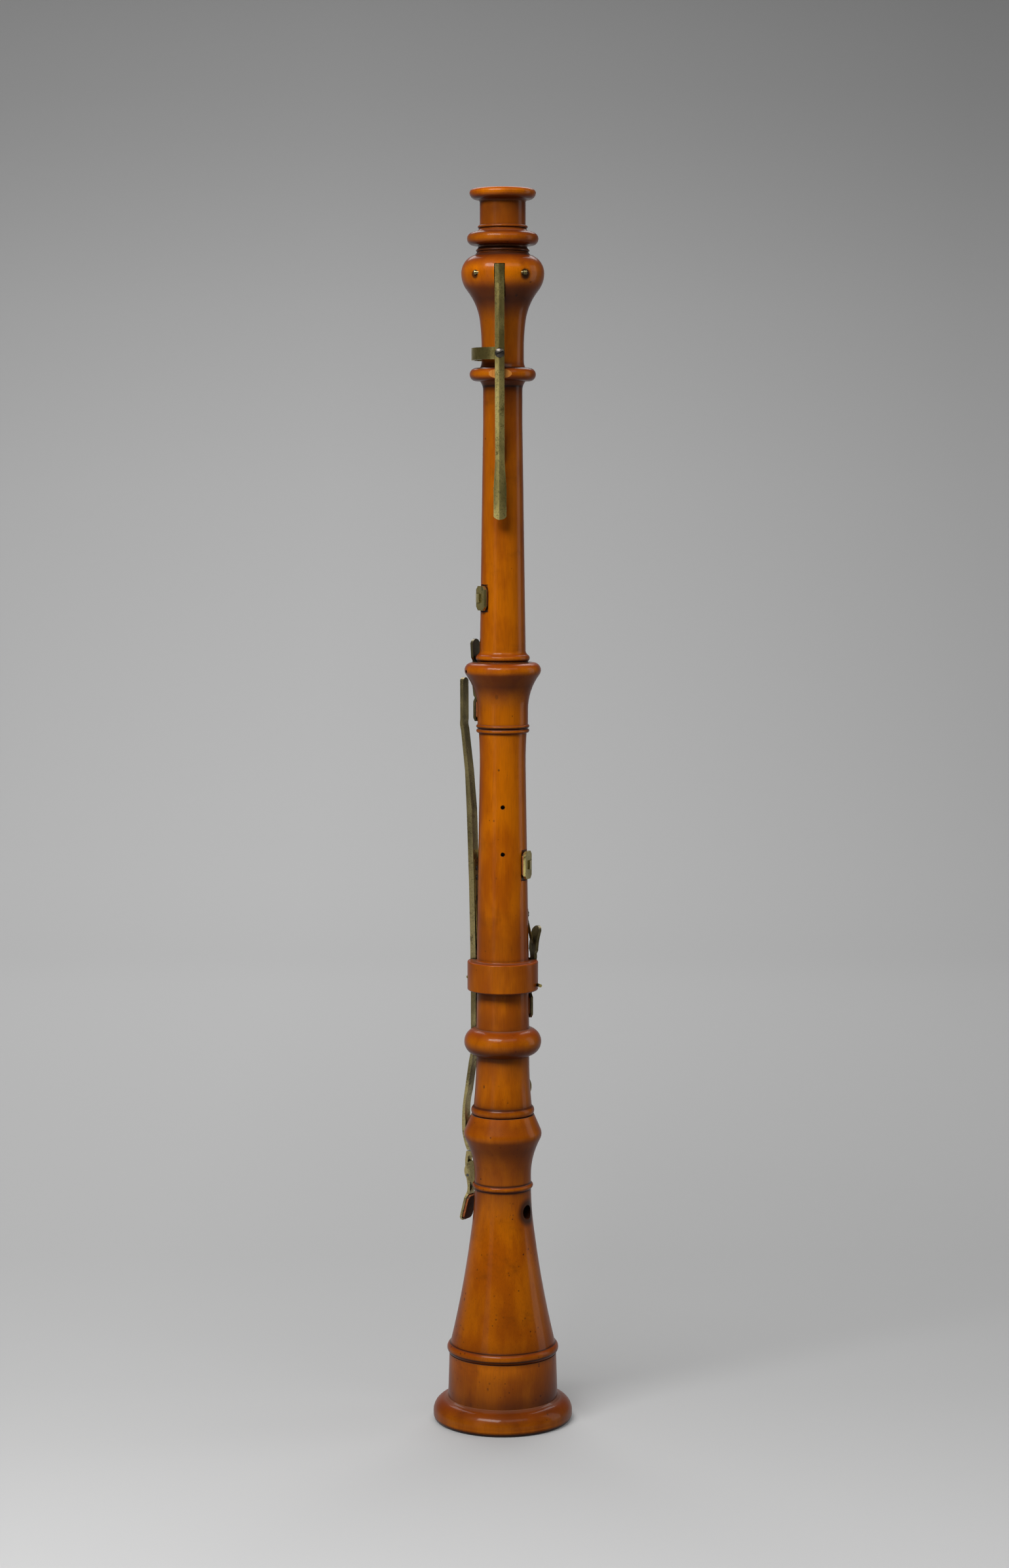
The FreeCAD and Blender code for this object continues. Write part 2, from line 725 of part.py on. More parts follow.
octave_knee = "(octave_pivot_height - 2 * octave_reach_up)"
octave_blank = padded("octave_blank", "XZ_Plane", "octave_touch_width", [
    ("octave_foot_radius - octave_thickness", octave_foot),
    ("octave_foot_radius", octave_foot),
    ("octave_pivot_radius + octave_rise", octave_top),
    ("octave_pivot_radius - 0.6 * pin_boss_radius", octave_top),
    *boss("octave"),
    (f"{octave_outer(octave_knee)} - octave_thickness", octave_knee),
], pin_eye("octave"))
octave_side = [
    ("octave_touch_width / 2", f"({octave_foot} + octave_touch_width / 4)", *round_end("octave_touch_width")),
    ("octave_touch_width / 2", "octave_touch_height"),
    ("octave_lever_width / 2", "octave_neck_height"),
    ("octave_lever_width / 2", octave_top),
]
trimmed(octave_blank, mirrored(octave_side), "2 * octave_touch_width")
octave_bevels = []
for side in ("", "-"):
    turn = f"rotationy(atan({octave_lean})) * rotationz({side}octave_bevel_angle)"
    edge = spot("octave_foot_radius", f"{side}octave_ridge_width / 2", octave_foot, turn)
    start = spot("0", f"{side}octave_touch_width - octave_touch_width", "-cut_overrun")
    octave_bevels.append(primitive("Box", f"{octave_frame} * {edge} * {start}", Length="cut_overrun",
                                   Width="2 * octave_touch_width",
                                   Height="octave_reach_up + octave_reach_down + 2 * cut_overrun"))
octave_blank.setExpression("Placement", cells(octave_frame))

# Octave key's band, pad, screw and spring
band_drop = 73.2
band_side_radius = 13.96
band_end_radius = 13.4
band_front_curve_radius = 15.0
band_back_curve_radius = 13.7
band_thickness = 1.2
band_depth = 5.4
band_screw_head_radius = 2.1
band_screw_head = 0.9
band_screw_edge = 0.25
band_screw_radius = 0.9
band_screw_slot_angle = 25.0
band_screw_recess = 0.5
octave_pad_radius = 2.4
octave_vent_radius = 0.6
octave_vent_seat = 0.1
octave_spring_foot_drop = 121.4
octave_spring_top_drop = 92.4
octave_screw_half_length = 10.6
octave_screw_head_radius = 1.15
octave_screw_head = 1.2
octave_screw_knob_radius = 1.5
octave_screw_knob_length = 1.6
band_screw_seat = f"({octave_outer('band_height')} - band_screw_recess)"
band_screw_end = f"({octave_outer('band_height')} - octave_thickness - band_thickness)"
band_outer = f"({octave_outer('band_height')} - octave_thickness)"
octave_lever = cut(
    "octave_key_lever", octave_blank, *octave_bevels,
    radial_rod(octave_frame, band_screw_seat, "0", "band_height",
               "band_screw_head_radius + 2 * running_clearance", "cut_overrun"),
    radial_rod(octave_frame, "0", "0", "band_height", "band_screw_radius", "bulb_radius + cut_overrun"))
node("octave_key_lever", octave_lever)
band_lip = "octave_lever_width / 2"
band_blank = bind(padded("band_blank", "XY_Plane", "band_depth", [
    ("-band_end_radius", "octave_pad_radius"),
    ("-band_end_radius", "0"),
    ("0", "-band_side_radius", "band_back_curve_radius", 1),
    (band_outer, "0", "band_front_curve_radius", 1),
    (band_outer, band_lip),
    (f"{band_outer} - band_thickness", band_lip),
    (f"{band_outer} - band_thickness", "0"),
    ("0", "-band_side_radius + band_thickness", "band_front_curve_radius - band_thickness", -1),
    ("-band_end_radius + band_thickness", "0", "band_back_curve_radius - band_thickness", -1),
    ("-band_end_radius + band_thickness", "octave_pad_radius"),
]), Placement=f"{octave_frame} * {spot('0', '0', 'band_height')}")
octave_band = node("octave_key_band", cut("octave_key_band", band_blank, radial_rod(
    octave_frame, "0", "0", "band_height", "band_screw_radius", "bulb_radius + cut_overrun")))
screw_blank = turned("band_screw_blank", [
    ("0", f"{band_screw_end} - {band_screw_seat}"),
    ("band_screw_radius", f"{band_screw_end} - {band_screw_seat}"),
    ("band_screw_radius", "0"),
    ("band_screw_head_radius", "0"),
    ("band_screw_head_radius", "band_screw_edge"),
    ("0", "band_screw_head", rise_radius("band_screw_head_radius", "band_screw_head - band_screw_edge"), 1),
])
bind(screw_blank, Placement=f"{octave_frame} * {spot(band_screw_seat, '0', 'band_height', 'rotationy(90)')}")
slot_turn = "rotationx(band_screw_slot_angle)"
slot_place = spot(f"{band_screw_seat} + band_screw_edge", "0", "band_height", slot_turn)
slot_start = spot("0", "-2 * band_screw_head_radius", "-screw_slot_width / 2")
node("octave_key_screw", cut("octave_key_screw", screw_blank, primitive(
    "Box", f"{octave_frame} * {slot_place} * {slot_start}",
    Length="cut_overrun", Width="4 * band_screw_head_radius", Height="screw_slot_width")))
vent_frame = at(upper_foot, "octave_azimuth + 180")
vent_seat = "(bulb_neck_radius - octave_vent_seat)"
octave_pad = radial_rod(vent_frame, f"{vent_seat} + pad_gap", "0", "band_height", "octave_pad_radius",
                        f"band_end_radius - band_thickness / 2 - {vent_seat} - pad_gap")
node("octave_key_pad", cut("octave_key_pad", octave_pad, octave_band))
upper_cuts.append(block(vent_frame, vent_seat, "band_height - 1.2 * octave_pad_radius", "bulb_radius",
                        "3 * octave_pad_radius", "2.4 * octave_pad_radius"))
upper_cuts.append(radial_rod(vent_frame, "0", "0", "band_height", "octave_vent_radius", "bulb_radius"))
spring_top = f"{octave_outer('octave_spring_top_height')} - (octave_thickness + spring_thickness)"
node("octave_key_spring", leaf("octave_key_spring", octave_frame, [
    (f"{barrel_radius('octave_spring_foot_height')} + running_clearance", "octave_spring_foot_height"),
    (f"{spring_top} - spring_width / 5", "octave_spring_top_height - spring_width"),
    (spring_top, "octave_spring_top_height"),
]))
ring_slot(upper_cuts, octave_frame, "octave", "octave_slot_width", "octave_slot_height",
          f"{octave_top} + key_clearance")
octave_screw = []
for radius, start, length, room in (
        ("pin_radius", "-octave_screw_half_length", "2 * octave_screw_half_length", "0"),
        ("octave_screw_knob_radius", "octave_screw_half_length", "octave_screw_knob_length",
         "running_clearance"),
        ("octave_screw_head_radius", "-octave_screw_half_length - octave_screw_head", "octave_screw_head",
         "running_clearance")):
    axis = (octave_frame, "octave_pivot_radius", "octave_pivot_height")
    octave_screw.append(tangent_rod(*axis, radius, start, length))
    upper_cuts.append(tangent_rod(*axis, f"{radius} + {room}", f"{start} - {room}", f"{length} + 2 * {room}"))
node("octave_key_pivot_screw", fused("octave_key_pivot_screw", *octave_screw))
upper_cuts.append(block(octave_frame, "grip_flat_radius", "grip_ring_height - grip_ring_half", "bulb_radius",
                        "grip_flat_width", "2 * grip_ring_half"))

# Cross keys: an arm round the tube from touch to flap, on a pin in a screwed saddle
arm_height = 4.0
arm_thickness = 1.1
cross_pin_rise = 2.5
cross_touch_lift = 0.9
cross_touch_thickness = 1.2
cheek_thickness = 1.1
cheek_width = 4.8
saddle_thickness = 0.6
saddle_length = 18.0
saddle_sink = 0.4
saddle_screw_inset = 1.7


def cross_saddle(key, frame, tube, cuts):
    """A plate screwed to a filed bed, with two upright ears that carry the pin."""
    pin, bed, height = f"({tube} + cross_pin_rise)", f"({tube} - saddle_sink)", f"{key}_height"
    cuts.append(block(frame, bed, f"{height} - saddle_length / 2 - running_clearance", "bulb_radius",
                      "2 * cheek_width", "saddle_length + 2 * running_clearance"))
    plate = block(frame, bed, f"{height} - saddle_length / 2", "saddle_thickness", "cheek_width",
                  "saddle_length")
    crown = rise_radius("cheek_width / 2", "0.4 * cheek_width")
    outline = [(bed, "-cheek_width / 2"), (pin, "-cheek_width / 2"),
               (pin, "cheek_width / 2", crown, 1), (bed, "cheek_width / 2")]
    parts, screws, holes = [plate], [], []
    for side in ("+", "-"):
        ear = padded("ear", "XY_Plane", "cheek_thickness", outline, (pin, "0", "pin_radius"))
        middle = f"{height} {side} (arm_height / 2 + cheek_thickness / 2 + 2 * running_clearance)"
        parts.append(bind(ear, Placement=f"{frame} * {spot('0', '0', middle)}"))
        foot = f"{height} {side} (saddle_length / 2 - saddle_screw_inset)"
        screws.append(small_screw(frame, f"({bed} + saddle_thickness)", foot))
        holes.append(screw_hole(frame, f"({bed} + saddle_thickness)", foot))
    cuts.extend(holes)
    half = "(arm_height / 2 + cheek_thickness + 2 * running_clearance)"
    node(f"{key}_saddle", cut(f"{key}_saddle", fused("saddle_blank", *parts), *holes))
    node(f"{key}_saddle_screws", grouped(f"{key}_saddle_screws", *screws))
    node(f"{key}_pivot_pin", upright_rod(frame, pin, "0", f"{height} - {half}", "pin_radius", f"2 * {half}"))


def arm(key, foot, inner, start, end):
    """A stretch of arm bent to an arc about the bore, from one azimuth round to another."""
    outer = f"{inner} + arm_thickness"
    loop = [polar(outer, start), (*polar(outer, end), outer, 1),
            polar(inner, end), (*polar(inner, start), inner, -1)]
    plan = padded("arm", "XY_Plane", "arm_height", loop)
    return bind(plan, Placement=f"placement(vector(0; 0; {foot} + {key}_height); rotationz(0))")


def cross_key(key, foot, tube, cuts):
    """One cross key with its pad, saddle, pin, screws and spring."""
    height, places = f"{key}_height", [f"{key}_{place}_azimuth" for place in ("flap", "saddle", "touch")]
    flap, saddle, touch = (at(foot, azimuth) for azimuth in places)
    pin = f"({tube} + cross_pin_rise)"
    low, high = f"-{key}_flap_length / 2", f"{key}_flap_length / 2"
    side = plate_side(f"{key}_flap_width", low, high)
    plate = padded("flap", "YZ_Plane", "plate_thickness", mirrored(side))
    bind(plate, Placement=f"{flap} * {spot(f'{plate_inner(tube)} + plate_thickness / 2', '0', height)}")
    inner = f"sqrt({plate_inner(tube)}^2 + {key}_flap_width^2 / 4)"
    lifted = f"({inner} + cross_touch_lift)"
    half = f"{key}_touch_length / 2"
    oval = [(f"{key}_touch_width / 4", f"-{half}"),
            (f"{key}_touch_width / 2", f"-{half} / 2", f"{half}", 1),
            (f"{key}_touch_width / 2", f"{half} / 2"),
            (f"{key}_touch_width / 4", half, f"{half}", 1)]
    finger = bind(padded("touch", "YZ_Plane", "cross_touch_thickness", mirrored(oval)),
                  Placement=f"{touch} * {spot(f'{lifted} + cross_touch_thickness / 2', '0', height)}")
    ends = sorted((places[0], places[2]), key=value)
    inners = (inner, lifted) if ends[0] == places[0] else (lifted, inner)
    arms = [arm(key, foot, inners[0], ends[0], places[1]), arm(key, foot, inners[1], places[1], ends[1])]
    hub = upright_rod(saddle, pin, "0", f"{height} - arm_height / 2", "pin_boss_radius", "arm_height")
    eye = upright_rod(saddle, pin, "0", f"{height} - arm_height", "pin_radius + running_clearance",
                      "2 * arm_height")
    blank = fused("key_blank", plate, finger, hub, *arms)
    node(f"{key}_key", cut(f"{key}_key", blank, eye))
    pad = pad_block(f"{key}_pad", f"{flap} * {spot('0', '0', height)}", tube, f"{key}_flap_width", low, high)
    seat_and_hole(cuts, flap, height, tube, f"{key}_flap_width + 2 * seat_depth",
                  f"{key}_flap_length + 2 * seat_depth")
    cross_saddle(key, saddle, tube, cuts)
    near = f"({places[1]} + 0.3 * ({places[2]} - {places[1]}))"
    far = f"({places[1]} + 0.75 * ({places[2]} - {places[1]}))"
    rest = f"({tube} + running_clearance)"
    strip = [polar(f"{rest} + spring_thickness", far), polar(rest, far),
             polar(f"({lifted} - spring_thickness)", near), polar(lifted, near)]
    node(f"{key}_spring", bind(padded(f"{key}_spring", "XY_Plane", "spring_width", strip),
                               Placement=f"placement(vector(0; 0; {foot} + {height}); rotationz(0))"))


# B flat key, on the lower half of the upper joint
bflat_height = 29.1
bflat_flap_azimuth = -62.0
bflat_saddle_azimuth = -132.0
bflat_touch_azimuth = -180.0
bflat_flap_width = 8.0
bflat_flap_length = 11.0
bflat_touch_width = 7.0
bflat_touch_length = 9.0
cross_key("bflat", upper_foot, barrel_radius("bflat_height"), upper_cuts)

# F key, half way up the lower joint
f_height = 115.6
f_flap_azimuth = 69.0
f_saddle_azimuth = 139.0
f_touch_azimuth = 187.0
f_flap_width = 8.0
f_flap_length = 12.7
f_touch_width = 7.0
f_touch_length = 9.0
cross_key("f", lower_foot, body_radius("f_height"), lower_cuts)


def lever_side(key, flap=True):
    """The right-hand side of a lever seen from outside: flap, narrow shank, rounded touch."""
    low, high = f"({key}_pivot_height - {key}_reach_down)", f"({key}_pivot_height + {key}_reach_up)"
    steps = [("lever_width / 2", low)]
    if flap:
        steps = plate_side(f"{key}_flap_width", low, f"({low} + {key}_flap_length)")
        steps.append(("lever_width / 2", f"({low} + {key}_flap_length + plate_corner)"))
    return steps + [
        ("lever_width / 2", f"({high} - {key}_touch_length - plate_corner)"),
        (f"{key}_touch_width / 2", f"({high} - {key}_touch_length)"),
        (f"{key}_touch_width / 2", f"({high} - {key}_touch_width / 4)"),
    ]


def lever(name, frame, key, side_view, width, plan):
    """A lever filed up from its side view, then trimmed to its outline seen from outside."""
    blank = padded(name, "XZ_Plane", width, side_view, pin_eye(key))
    trimmed(blank, mirrored(plan, round_end(f"{key}_touch_width")), "2 * lever_width")
    return bind(blank, Placement=frame)


def sprung_lever_flap(key, tube, shares):
    """The side view of a closed-standing lever: flap plate, bent shank, touch and boss."""
    low = f"{key}_pivot_height - {key}_reach_down"
    inner = plate_inner(tube)
    top = f"{low} + {key}_flap_length"
    before, after, heel = shares
    return [(inner, low), (f"{inner} + plate_thickness", low), (f"{inner} + plate_thickness", top),
            *shared(key, before), *shared(key, after), *boss(key), *shared(key, heel), (inner, top)]


# G sharp key, in the flared socket ring of the lower joint
gsharp_azimuth = -115.0
gsharp_pivot_radius = 12.9
gsharp_pivot_drop = 3.9
gsharp_rise = 1.6
gsharp_reach_up = 14.4
gsharp_reach_down = 23.0
gsharp_flap_width = 8.0
gsharp_flap_length = 10.6
gsharp_touch_width = 8.0
gsharp_touch_length = 8.4
gsharp_pin_half_length = 8.6
gsharp_slot_drop = 15.5
gsharp_frame = at(lower_foot, "gsharp_azimuth")
gsharp_shares = (
    [(0.44, -0.49), (0.875, -0.2), (0.875, 0.132), (0.66, 0.34), (1, 1)],
    [(0.31, 1), (-0.03, 0.38)],
    [(-0.3, -0.135), (-0.35, -0.52)],
)
gsharp_seat_height = "(gsharp_pivot_height - gsharp_reach_down + gsharp_flap_length / 2)"
gsharp_low = "(gsharp_pivot_height - gsharp_reach_down)"
node("gsharp_key", lever("gsharp_key", gsharp_frame, "gsharp",
                         sprung_lever_flap("gsharp", "socket_neck_radius", gsharp_shares),
                         "gsharp_flap_width", lever_side("gsharp")))
pad_block("gsharp_pad", gsharp_frame, "socket_neck_radius", "gsharp_flap_width", gsharp_low,
          f"({gsharp_low} + gsharp_flap_length)")
seat_and_hole(lower_cuts, gsharp_frame, gsharp_seat_height, "socket_neck_radius",
              "gsharp_flap_width + 2 * seat_depth", "gsharp_flap_length + 2 * seat_depth")
ring_slot(lower_cuts, gsharp_frame, "gsharp", "lever_width + 2 * key_clearance", "gsharp_slot_height",
          "lower_length + cut_overrun")
ring_pin("gsharp_pivot_pin", lower_cuts, gsharp_frame, "gsharp", "-gsharp_pin_half_length",
         "2 * gsharp_pin_half_length")
gsharp_floor = "gsharp_pivot_radius - pin_boss_radius - key_clearance + running_clearance"
node("gsharp_spring", leaf("gsharp_spring", gsharp_frame, [
    (gsharp_floor, "gsharp_pivot_height + pin_boss_radius"),
    ("gsharp_pivot_radius - 0.36 * gsharp_rise - spring_thickness", "lower_length - key_clearance"),
]))


# E flat key, through the collar of the lower joint, with a spring screwed to the body
eflat_azimuth = 112.0
eflat_pivot_radius = 13.5
eflat_pivot_height = 60.4
eflat_rise = 4.7
eflat_reach_up = 25.9
eflat_reach_down = 16.1
eflat_flap_width = 8.4
eflat_flap_length = 11.2
eflat_touch_width = 8.0
eflat_touch_length = 11.0
eflat_pin_start = -12.5
eflat_pin_length = 20.5
eflat_spring_foot = 78.5
eflat_spring_screw_height = 92.0
eflat_spring_tail = 2.4
eflat_frame = at(lower_foot, "eflat_azimuth")
eflat_shares = (
    [(0.17, -0.15), (0.36, 0.1), (0.45, 0.37), (0.53, 0.448), (1, 1, 7, -1)],
    [(0.74, 1), (0.23, 0.43, 7, 1), (0.02, 0.216)],
    [(-0.25, -0.18)],
)
eflat_low = "(eflat_pivot_height - eflat_reach_down)"
node("eflat_key", lever("eflat_key", eflat_frame, "eflat",
                        sprung_lever_flap("eflat", "collar_neck_radius", eflat_shares),
                        "eflat_flap_width", lever_side("eflat")))
pad_block("eflat_pad", eflat_frame, "collar_neck_radius", "eflat_flap_width", eflat_low,
          f"({eflat_low} + eflat_flap_length)")
seat_and_hole(lower_cuts, eflat_frame, f"({eflat_low} + eflat_flap_length / 2)", "collar_neck_radius",
              "eflat_flap_width + 2 * seat_depth", "eflat_flap_length + 2 * seat_depth")
ring_slot(lower_cuts, eflat_frame, "eflat", "lever_width + 2 * key_clearance",
          "collar_foot - cut_overrun / 4", "collar_top + cut_overrun / 4")
ring_pin("eflat_pivot_pin", lower_cuts, eflat_frame, "eflat", "eflat_pin_start", "eflat_pin_length")
eflat_leaf_top = "(eflat_spring_screw_height + eflat_spring_tail)"
eflat_leaf_foot = "(eflat_spring_screw_height - eflat_spring_tail)"
eflat_leaf = leaf("eflat_leaf", eflat_frame, [
    ("eflat_pivot_radius + 0.18 * eflat_rise", "eflat_spring_foot"),
    (f"{body_radius(eflat_leaf_foot)} + running_clearance", eflat_leaf_foot),
    (f"{body_radius(eflat_leaf_foot)} + running_clearance", eflat_leaf_top),
])
eflat_leaf_face = f"({body_radius(eflat_leaf_foot)} + running_clearance + spring_thickness)"
eflat_screw_place = (eflat_frame, eflat_leaf_face, "eflat_spring_screw_height")
node("eflat_spring", cut("eflat_spring", eflat_leaf, screw_hole(*eflat_screw_place)))
node("eflat_spring_screw", small_screw(*eflat_screw_place))
lower_cuts.append(screw_hole(*eflat_screw_place))

# C key's touch lever, which pushes the flap lever's tail from below
c_azimuth = 155.0
c_touch_pivot_radius = 13.5
c_touch_pivot_height = 67.5
c_touch_rise = 4.0
c_touch_reach_up = 20.5
c_touch_reach_down = 19.0
c_touch_touch_width = 7.6
c_touch_touch_length = 10.0
c_touch_pin_half_length = 7.5
c_spring_foot = 77.0
c_spring_top = 85.0
c_frame = at(lower_foot, "c_azimuth")
c_touch_back_shares = [
    (-0.29, -1), (-0.06, -1), (-0.06, -0.816), (0, -0.605), (0.35, -0.395), (0.45, 0.146),
    (0.575, 0.268), (1, 1, 8, -1), (0.7, 1), (0.225, 0.234, 8, 1),
]
c_touch_belly_shares = [(-0.32, -0.5), (-0.29, -0.66)]
c_touch_view = shared("c_touch", c_touch_back_shares) + boss("c_touch")
c_touch_view += shared("c_touch", c_touch_belly_shares)
node("c_touch_key", lever("c_touch_key", c_frame, "c_touch", c_touch_view, "c_touch_touch_width",
                          lever_side("c_touch", flap=False)))
ring_slot(lower_cuts, c_frame, "c_touch", "lever_width + 2 * key_clearance",
          "collar_foot - cut_overrun / 4", "collar_top + cut_overrun / 4")
ring_pin("c_touch_pivot_pin", lower_cuts, c_frame, "c_touch", "-c_touch_pin_half_length",
         "2 * c_touch_pin_half_length")
node("c_touch_spring", leaf("c_touch_spring", c_frame, [
    (f"{body_radius('c_spring_foot')} + running_clearance", "c_spring_foot"),
    ("c_touch_pivot_radius + 0.4 * c_touch_rise - spring_thickness", "c_spring_top"),
]))

# C key's flap lever in the bulge, drawn closed on its seat and then stood open
c_flap_pivot_radius = 14.6
c_flap_pivot_height = 33.8
c_flap_rise = 1.7
c_flap_reach_up = 17.7
c_flap_reach_down = 16.9
c_flap_opening_angle = 4.65
c_flap_radius = 6.9
c_pad_radius = 6.5
c_pad_thickness = 1.6
c_hole_radius = 3.5
c_hole_height = 10.3
c_seat_radius = 12.2
c_seat_length = 14.6
c_flap_pin_half_length = 8.6
c_flap_spring_foot = 17.6
c_flap_spring_top = 26.0
c_flap_frame = turned_out(c_frame, "c_flap", "c_flap_opening_angle")
c_plate = "(c_seat_radius + pad_gap + c_pad_thickness)"
c_flap_back_shares = [(0.35, -0.876), (0.59, -0.4), (1, 0.01), (1, 0.35), (0.765, 1), (0.206, 1), (0.03, 0.83),
                      (-0.235, 0.41)]
c_flap_belly_shares = [(-0.765, -0.4)]
c_flap_view = [(c_plate, "c_flap_pivot_height - c_flap_reach_down"),
               (f"{c_plate} + plate_thickness", "c_flap_pivot_height - c_flap_reach_down")]
c_flap_view += shared("c_flap", c_flap_back_shares) + boss("c_flap")
c_flap_view += shared("c_flap", c_flap_belly_shares)
c_flap_view.append((c_plate, "c_flap_pivot_height - 0.97 * c_flap_reach_down"))
c_shank = bind(padded("c_shank", "XZ_Plane", "lever_width", c_flap_view, pin_eye("c_flap")),
               Placement=c_flap_frame)
c_disc = radial_rod(c_flap_frame, c_plate, "0", "c_hole_height", "c_flap_radius", "plate_thickness")
node("c_flap_key", fused("c_flap_key", c_shank, c_disc))
node("c_pad", radial_rod(c_flap_frame, f"({c_plate} - c_pad_thickness)", "0", "c_hole_height",
                         "c_pad_radius", "c_pad_thickness"))
lower_cuts.append(block(c_frame, "c_seat_radius", "c_hole_height - c_seat_length / 2", "bulb_radius",
                        "c_seat_length", "c_seat_length"))
lower_cuts.append(radial_rod(c_frame, "0", "0", "c_hole_height", "c_hole_radius", "bulb_radius"))
ring_slot(lower_cuts, c_frame, "c_flap", "lever_width + 2 * key_clearance",
          "bulge_height - bulge_half - cut_overrun / 4", "bulge_height + bulge_half + cut_overrun / 4")
ring_pin("c_flap_pivot_pin", lower_cuts, c_frame, "c_flap", "-c_flap_pin_half_length",
         "2 * c_flap_pin_half_length")
node("c_flap_spring", leaf("c_flap_spring", c_frame, [
    ("bulge_neck_radius + foot_bead_half / 5", "c_flap_spring_foot"),
    ("c_flap_pivot_radius - 0.42 * c_flap_rise - spring_thickness", "c_flap_spring_top"),
]))

# Low B key: a lever nearly as long as the lower joint, from the touch by the socket ring
# through collar and bulge to a thin tongue over the bell's cup
low_b_azimuth = -119.0
low_b_pivot_radius = 13.5
low_b_pivot_height = 63.6
low_b_rise = 7.4
low_b_top_drop = 7.3
low_b_tongue_rise = 8.3
low_b_pin_half_length = 8.6
low_b_floor_radius = 12.3
low_b_spring_width = 4.0
low_b_rivet_radius = 0.8
low_b_rivet_low = 108.6
low_b_rivet_high = 113.0
low_b_rivet_head = 0.3
low_b_rivet_head_radius = 1.2
low_b_leaf_foot = 74.0
low_b_leaf_bend = 104.5
low_b_leaf_top = 117.6
low_b_reach_up = "low_b_top_height - low_b_pivot_height"
low_b_reach_down = "low_b_pivot_height + joint_gap + bell_key_pivot_drop - low_b_tongue_rise"
low_b_frame = at(lower_foot, "low_b_azimuth")
low_b_back_shares = [
    (0.13, -1), (0.27, -1), (0.27, -0.9601), (0.555, -0.9601), (0.905, -0.8218, 3.88, 1),
    (0.703, -0.636, 11.3, 1), (0.4, -0.47), (0.257, -0.33, 4.5, -1), (0.257, -0.12), (0.297, 0.11),
    (0.378, 0.305), (0.541, 0.559), (0.66, 0.69), (0.94, 0.825), (0.986, 0.86, 1.2, 1), (1, 1),
    (0.784, 1), (0.77, 0.86), (0.73, 0.83, 1, -1), (0.4, 0.69), (0.18, 0.56), (0.0135, 0.305),
    (-0.068, 0.11),
]
low_b_belly_shares = [
    (-0.09, -0.12), (-0.09, -0.36), (0.08, -0.425), (0.27, -0.514), (0.487, -0.636),
    (0.655, -0.8, 4.5, -1), (0.655, -0.865), (0.6, -0.894), (0.43, -0.928), (0.27, -0.9585),
    (0.16, -0.9786),
]
low_b_view = shared("low_b", low_b_back_shares) + boss("low_b") + shared("low_b", low_b_belly_shares)
low_b_shift = "low_b_pivot_height - low_b_reach_down"
low_b_blank = padded("low_b_blank", "XZ_Plane", "lever_width", low_b_view, pin_eye("low_b"))
trimmed(low_b_blank, mirrored([("lever_width / 2", f"({low_b_shift})"),
                               ("lever_width / 2", "(low_b_top_height - lever_width / 4)")],
                              round_end("lever_width")), "2 * lever_width")
low_b_blank.setExpression("Placement", cells(low_b_frame))


def low_b_under(height):
    """The lever's underside at a height on the long straight stretch above the collar."""
    slope = "0.1625 * low_b_rise / (0.255 * low_b_reach_up)"
    return (f"(low_b_pivot_radius + 0.0135 * low_b_rise"
            f" + {slope} * ({height} - low_b_pivot_height - 0.305 * low_b_reach_up))")


rivets, rivet_holes = [], []
for height in ("low_b_rivet_low", "low_b_rivet_high"):
    under = f"({low_b_under(height)} - spring_thickness - running_clearance)"
    rivet_holes.append(radial_rod(low_b_frame, "middle_bore_radius", "0", height, "low_b_rivet_radius",
                                  "2 * bulb_radius"))
    head = radial_rod(low_b_frame, f"{under} - low_b_rivet_head", "0", height,
                      "low_b_rivet_head_radius", "low_b_rivet_head")
    shank = radial_rod(low_b_frame, under, "0", height, "low_b_rivet_radius",
                       f"{low_b_under(height)} - {under} + lever_width / 2")
    rivets.append(fused("rivet", head, shank))
node("low_b_key", cut("low_b_key", low_b_blank, *rivet_holes))
low_b_leaf = leaf("low_b_leaf", low_b_frame, [
    (f"{body_radius('low_b_leaf_foot')} + running_clearance", "low_b_leaf_foot"),
    (f"{low_b_under('low_b_leaf_bend')} - spring_thickness", "low_b_leaf_bend"),
    (f"{low_b_under('low_b_leaf_top')} - spring_thickness", "low_b_leaf_top"),
], "low_b_spring_width")
trimmed(low_b_leaf, mirrored([("low_b_spring_width / 2", "low_b_leaf_foot"),
                              ("low_b_spring_width / 2", "(low_b_leaf_top - low_b_spring_width / 4)")],
                             round_end("low_b_spring_width")), "2 * low_b_spring_width")
node("low_b_spring", cut("low_b_spring", low_b_leaf, *rivet_holes))
node("low_b_spring_rivets", grouped("low_b_spring_rivets", *rivets))
low_b_collar_floor = "low_b_pivot_radius - pin_boss_radius - key_clearance"
for low, high, floor in (("collar_foot", "collar_top", low_b_collar_floor),
                         ("bulge_height - bulge_half", "bulge_height + bulge_half", "low_b_floor_radius")):
    lower_cuts.append(block(low_b_frame, floor, f"{low} - cut_overrun / 4", "bulb_radius",
                            "lever_width + 2 * key_clearance", f"{high} - ({low}) + cut_overrun / 2"))
ring_pin("low_b_pivot_pin", lower_cuts, low_b_frame, "low_b", "-low_b_pin_half_length",
         "2 * low_b_pin_half_length")

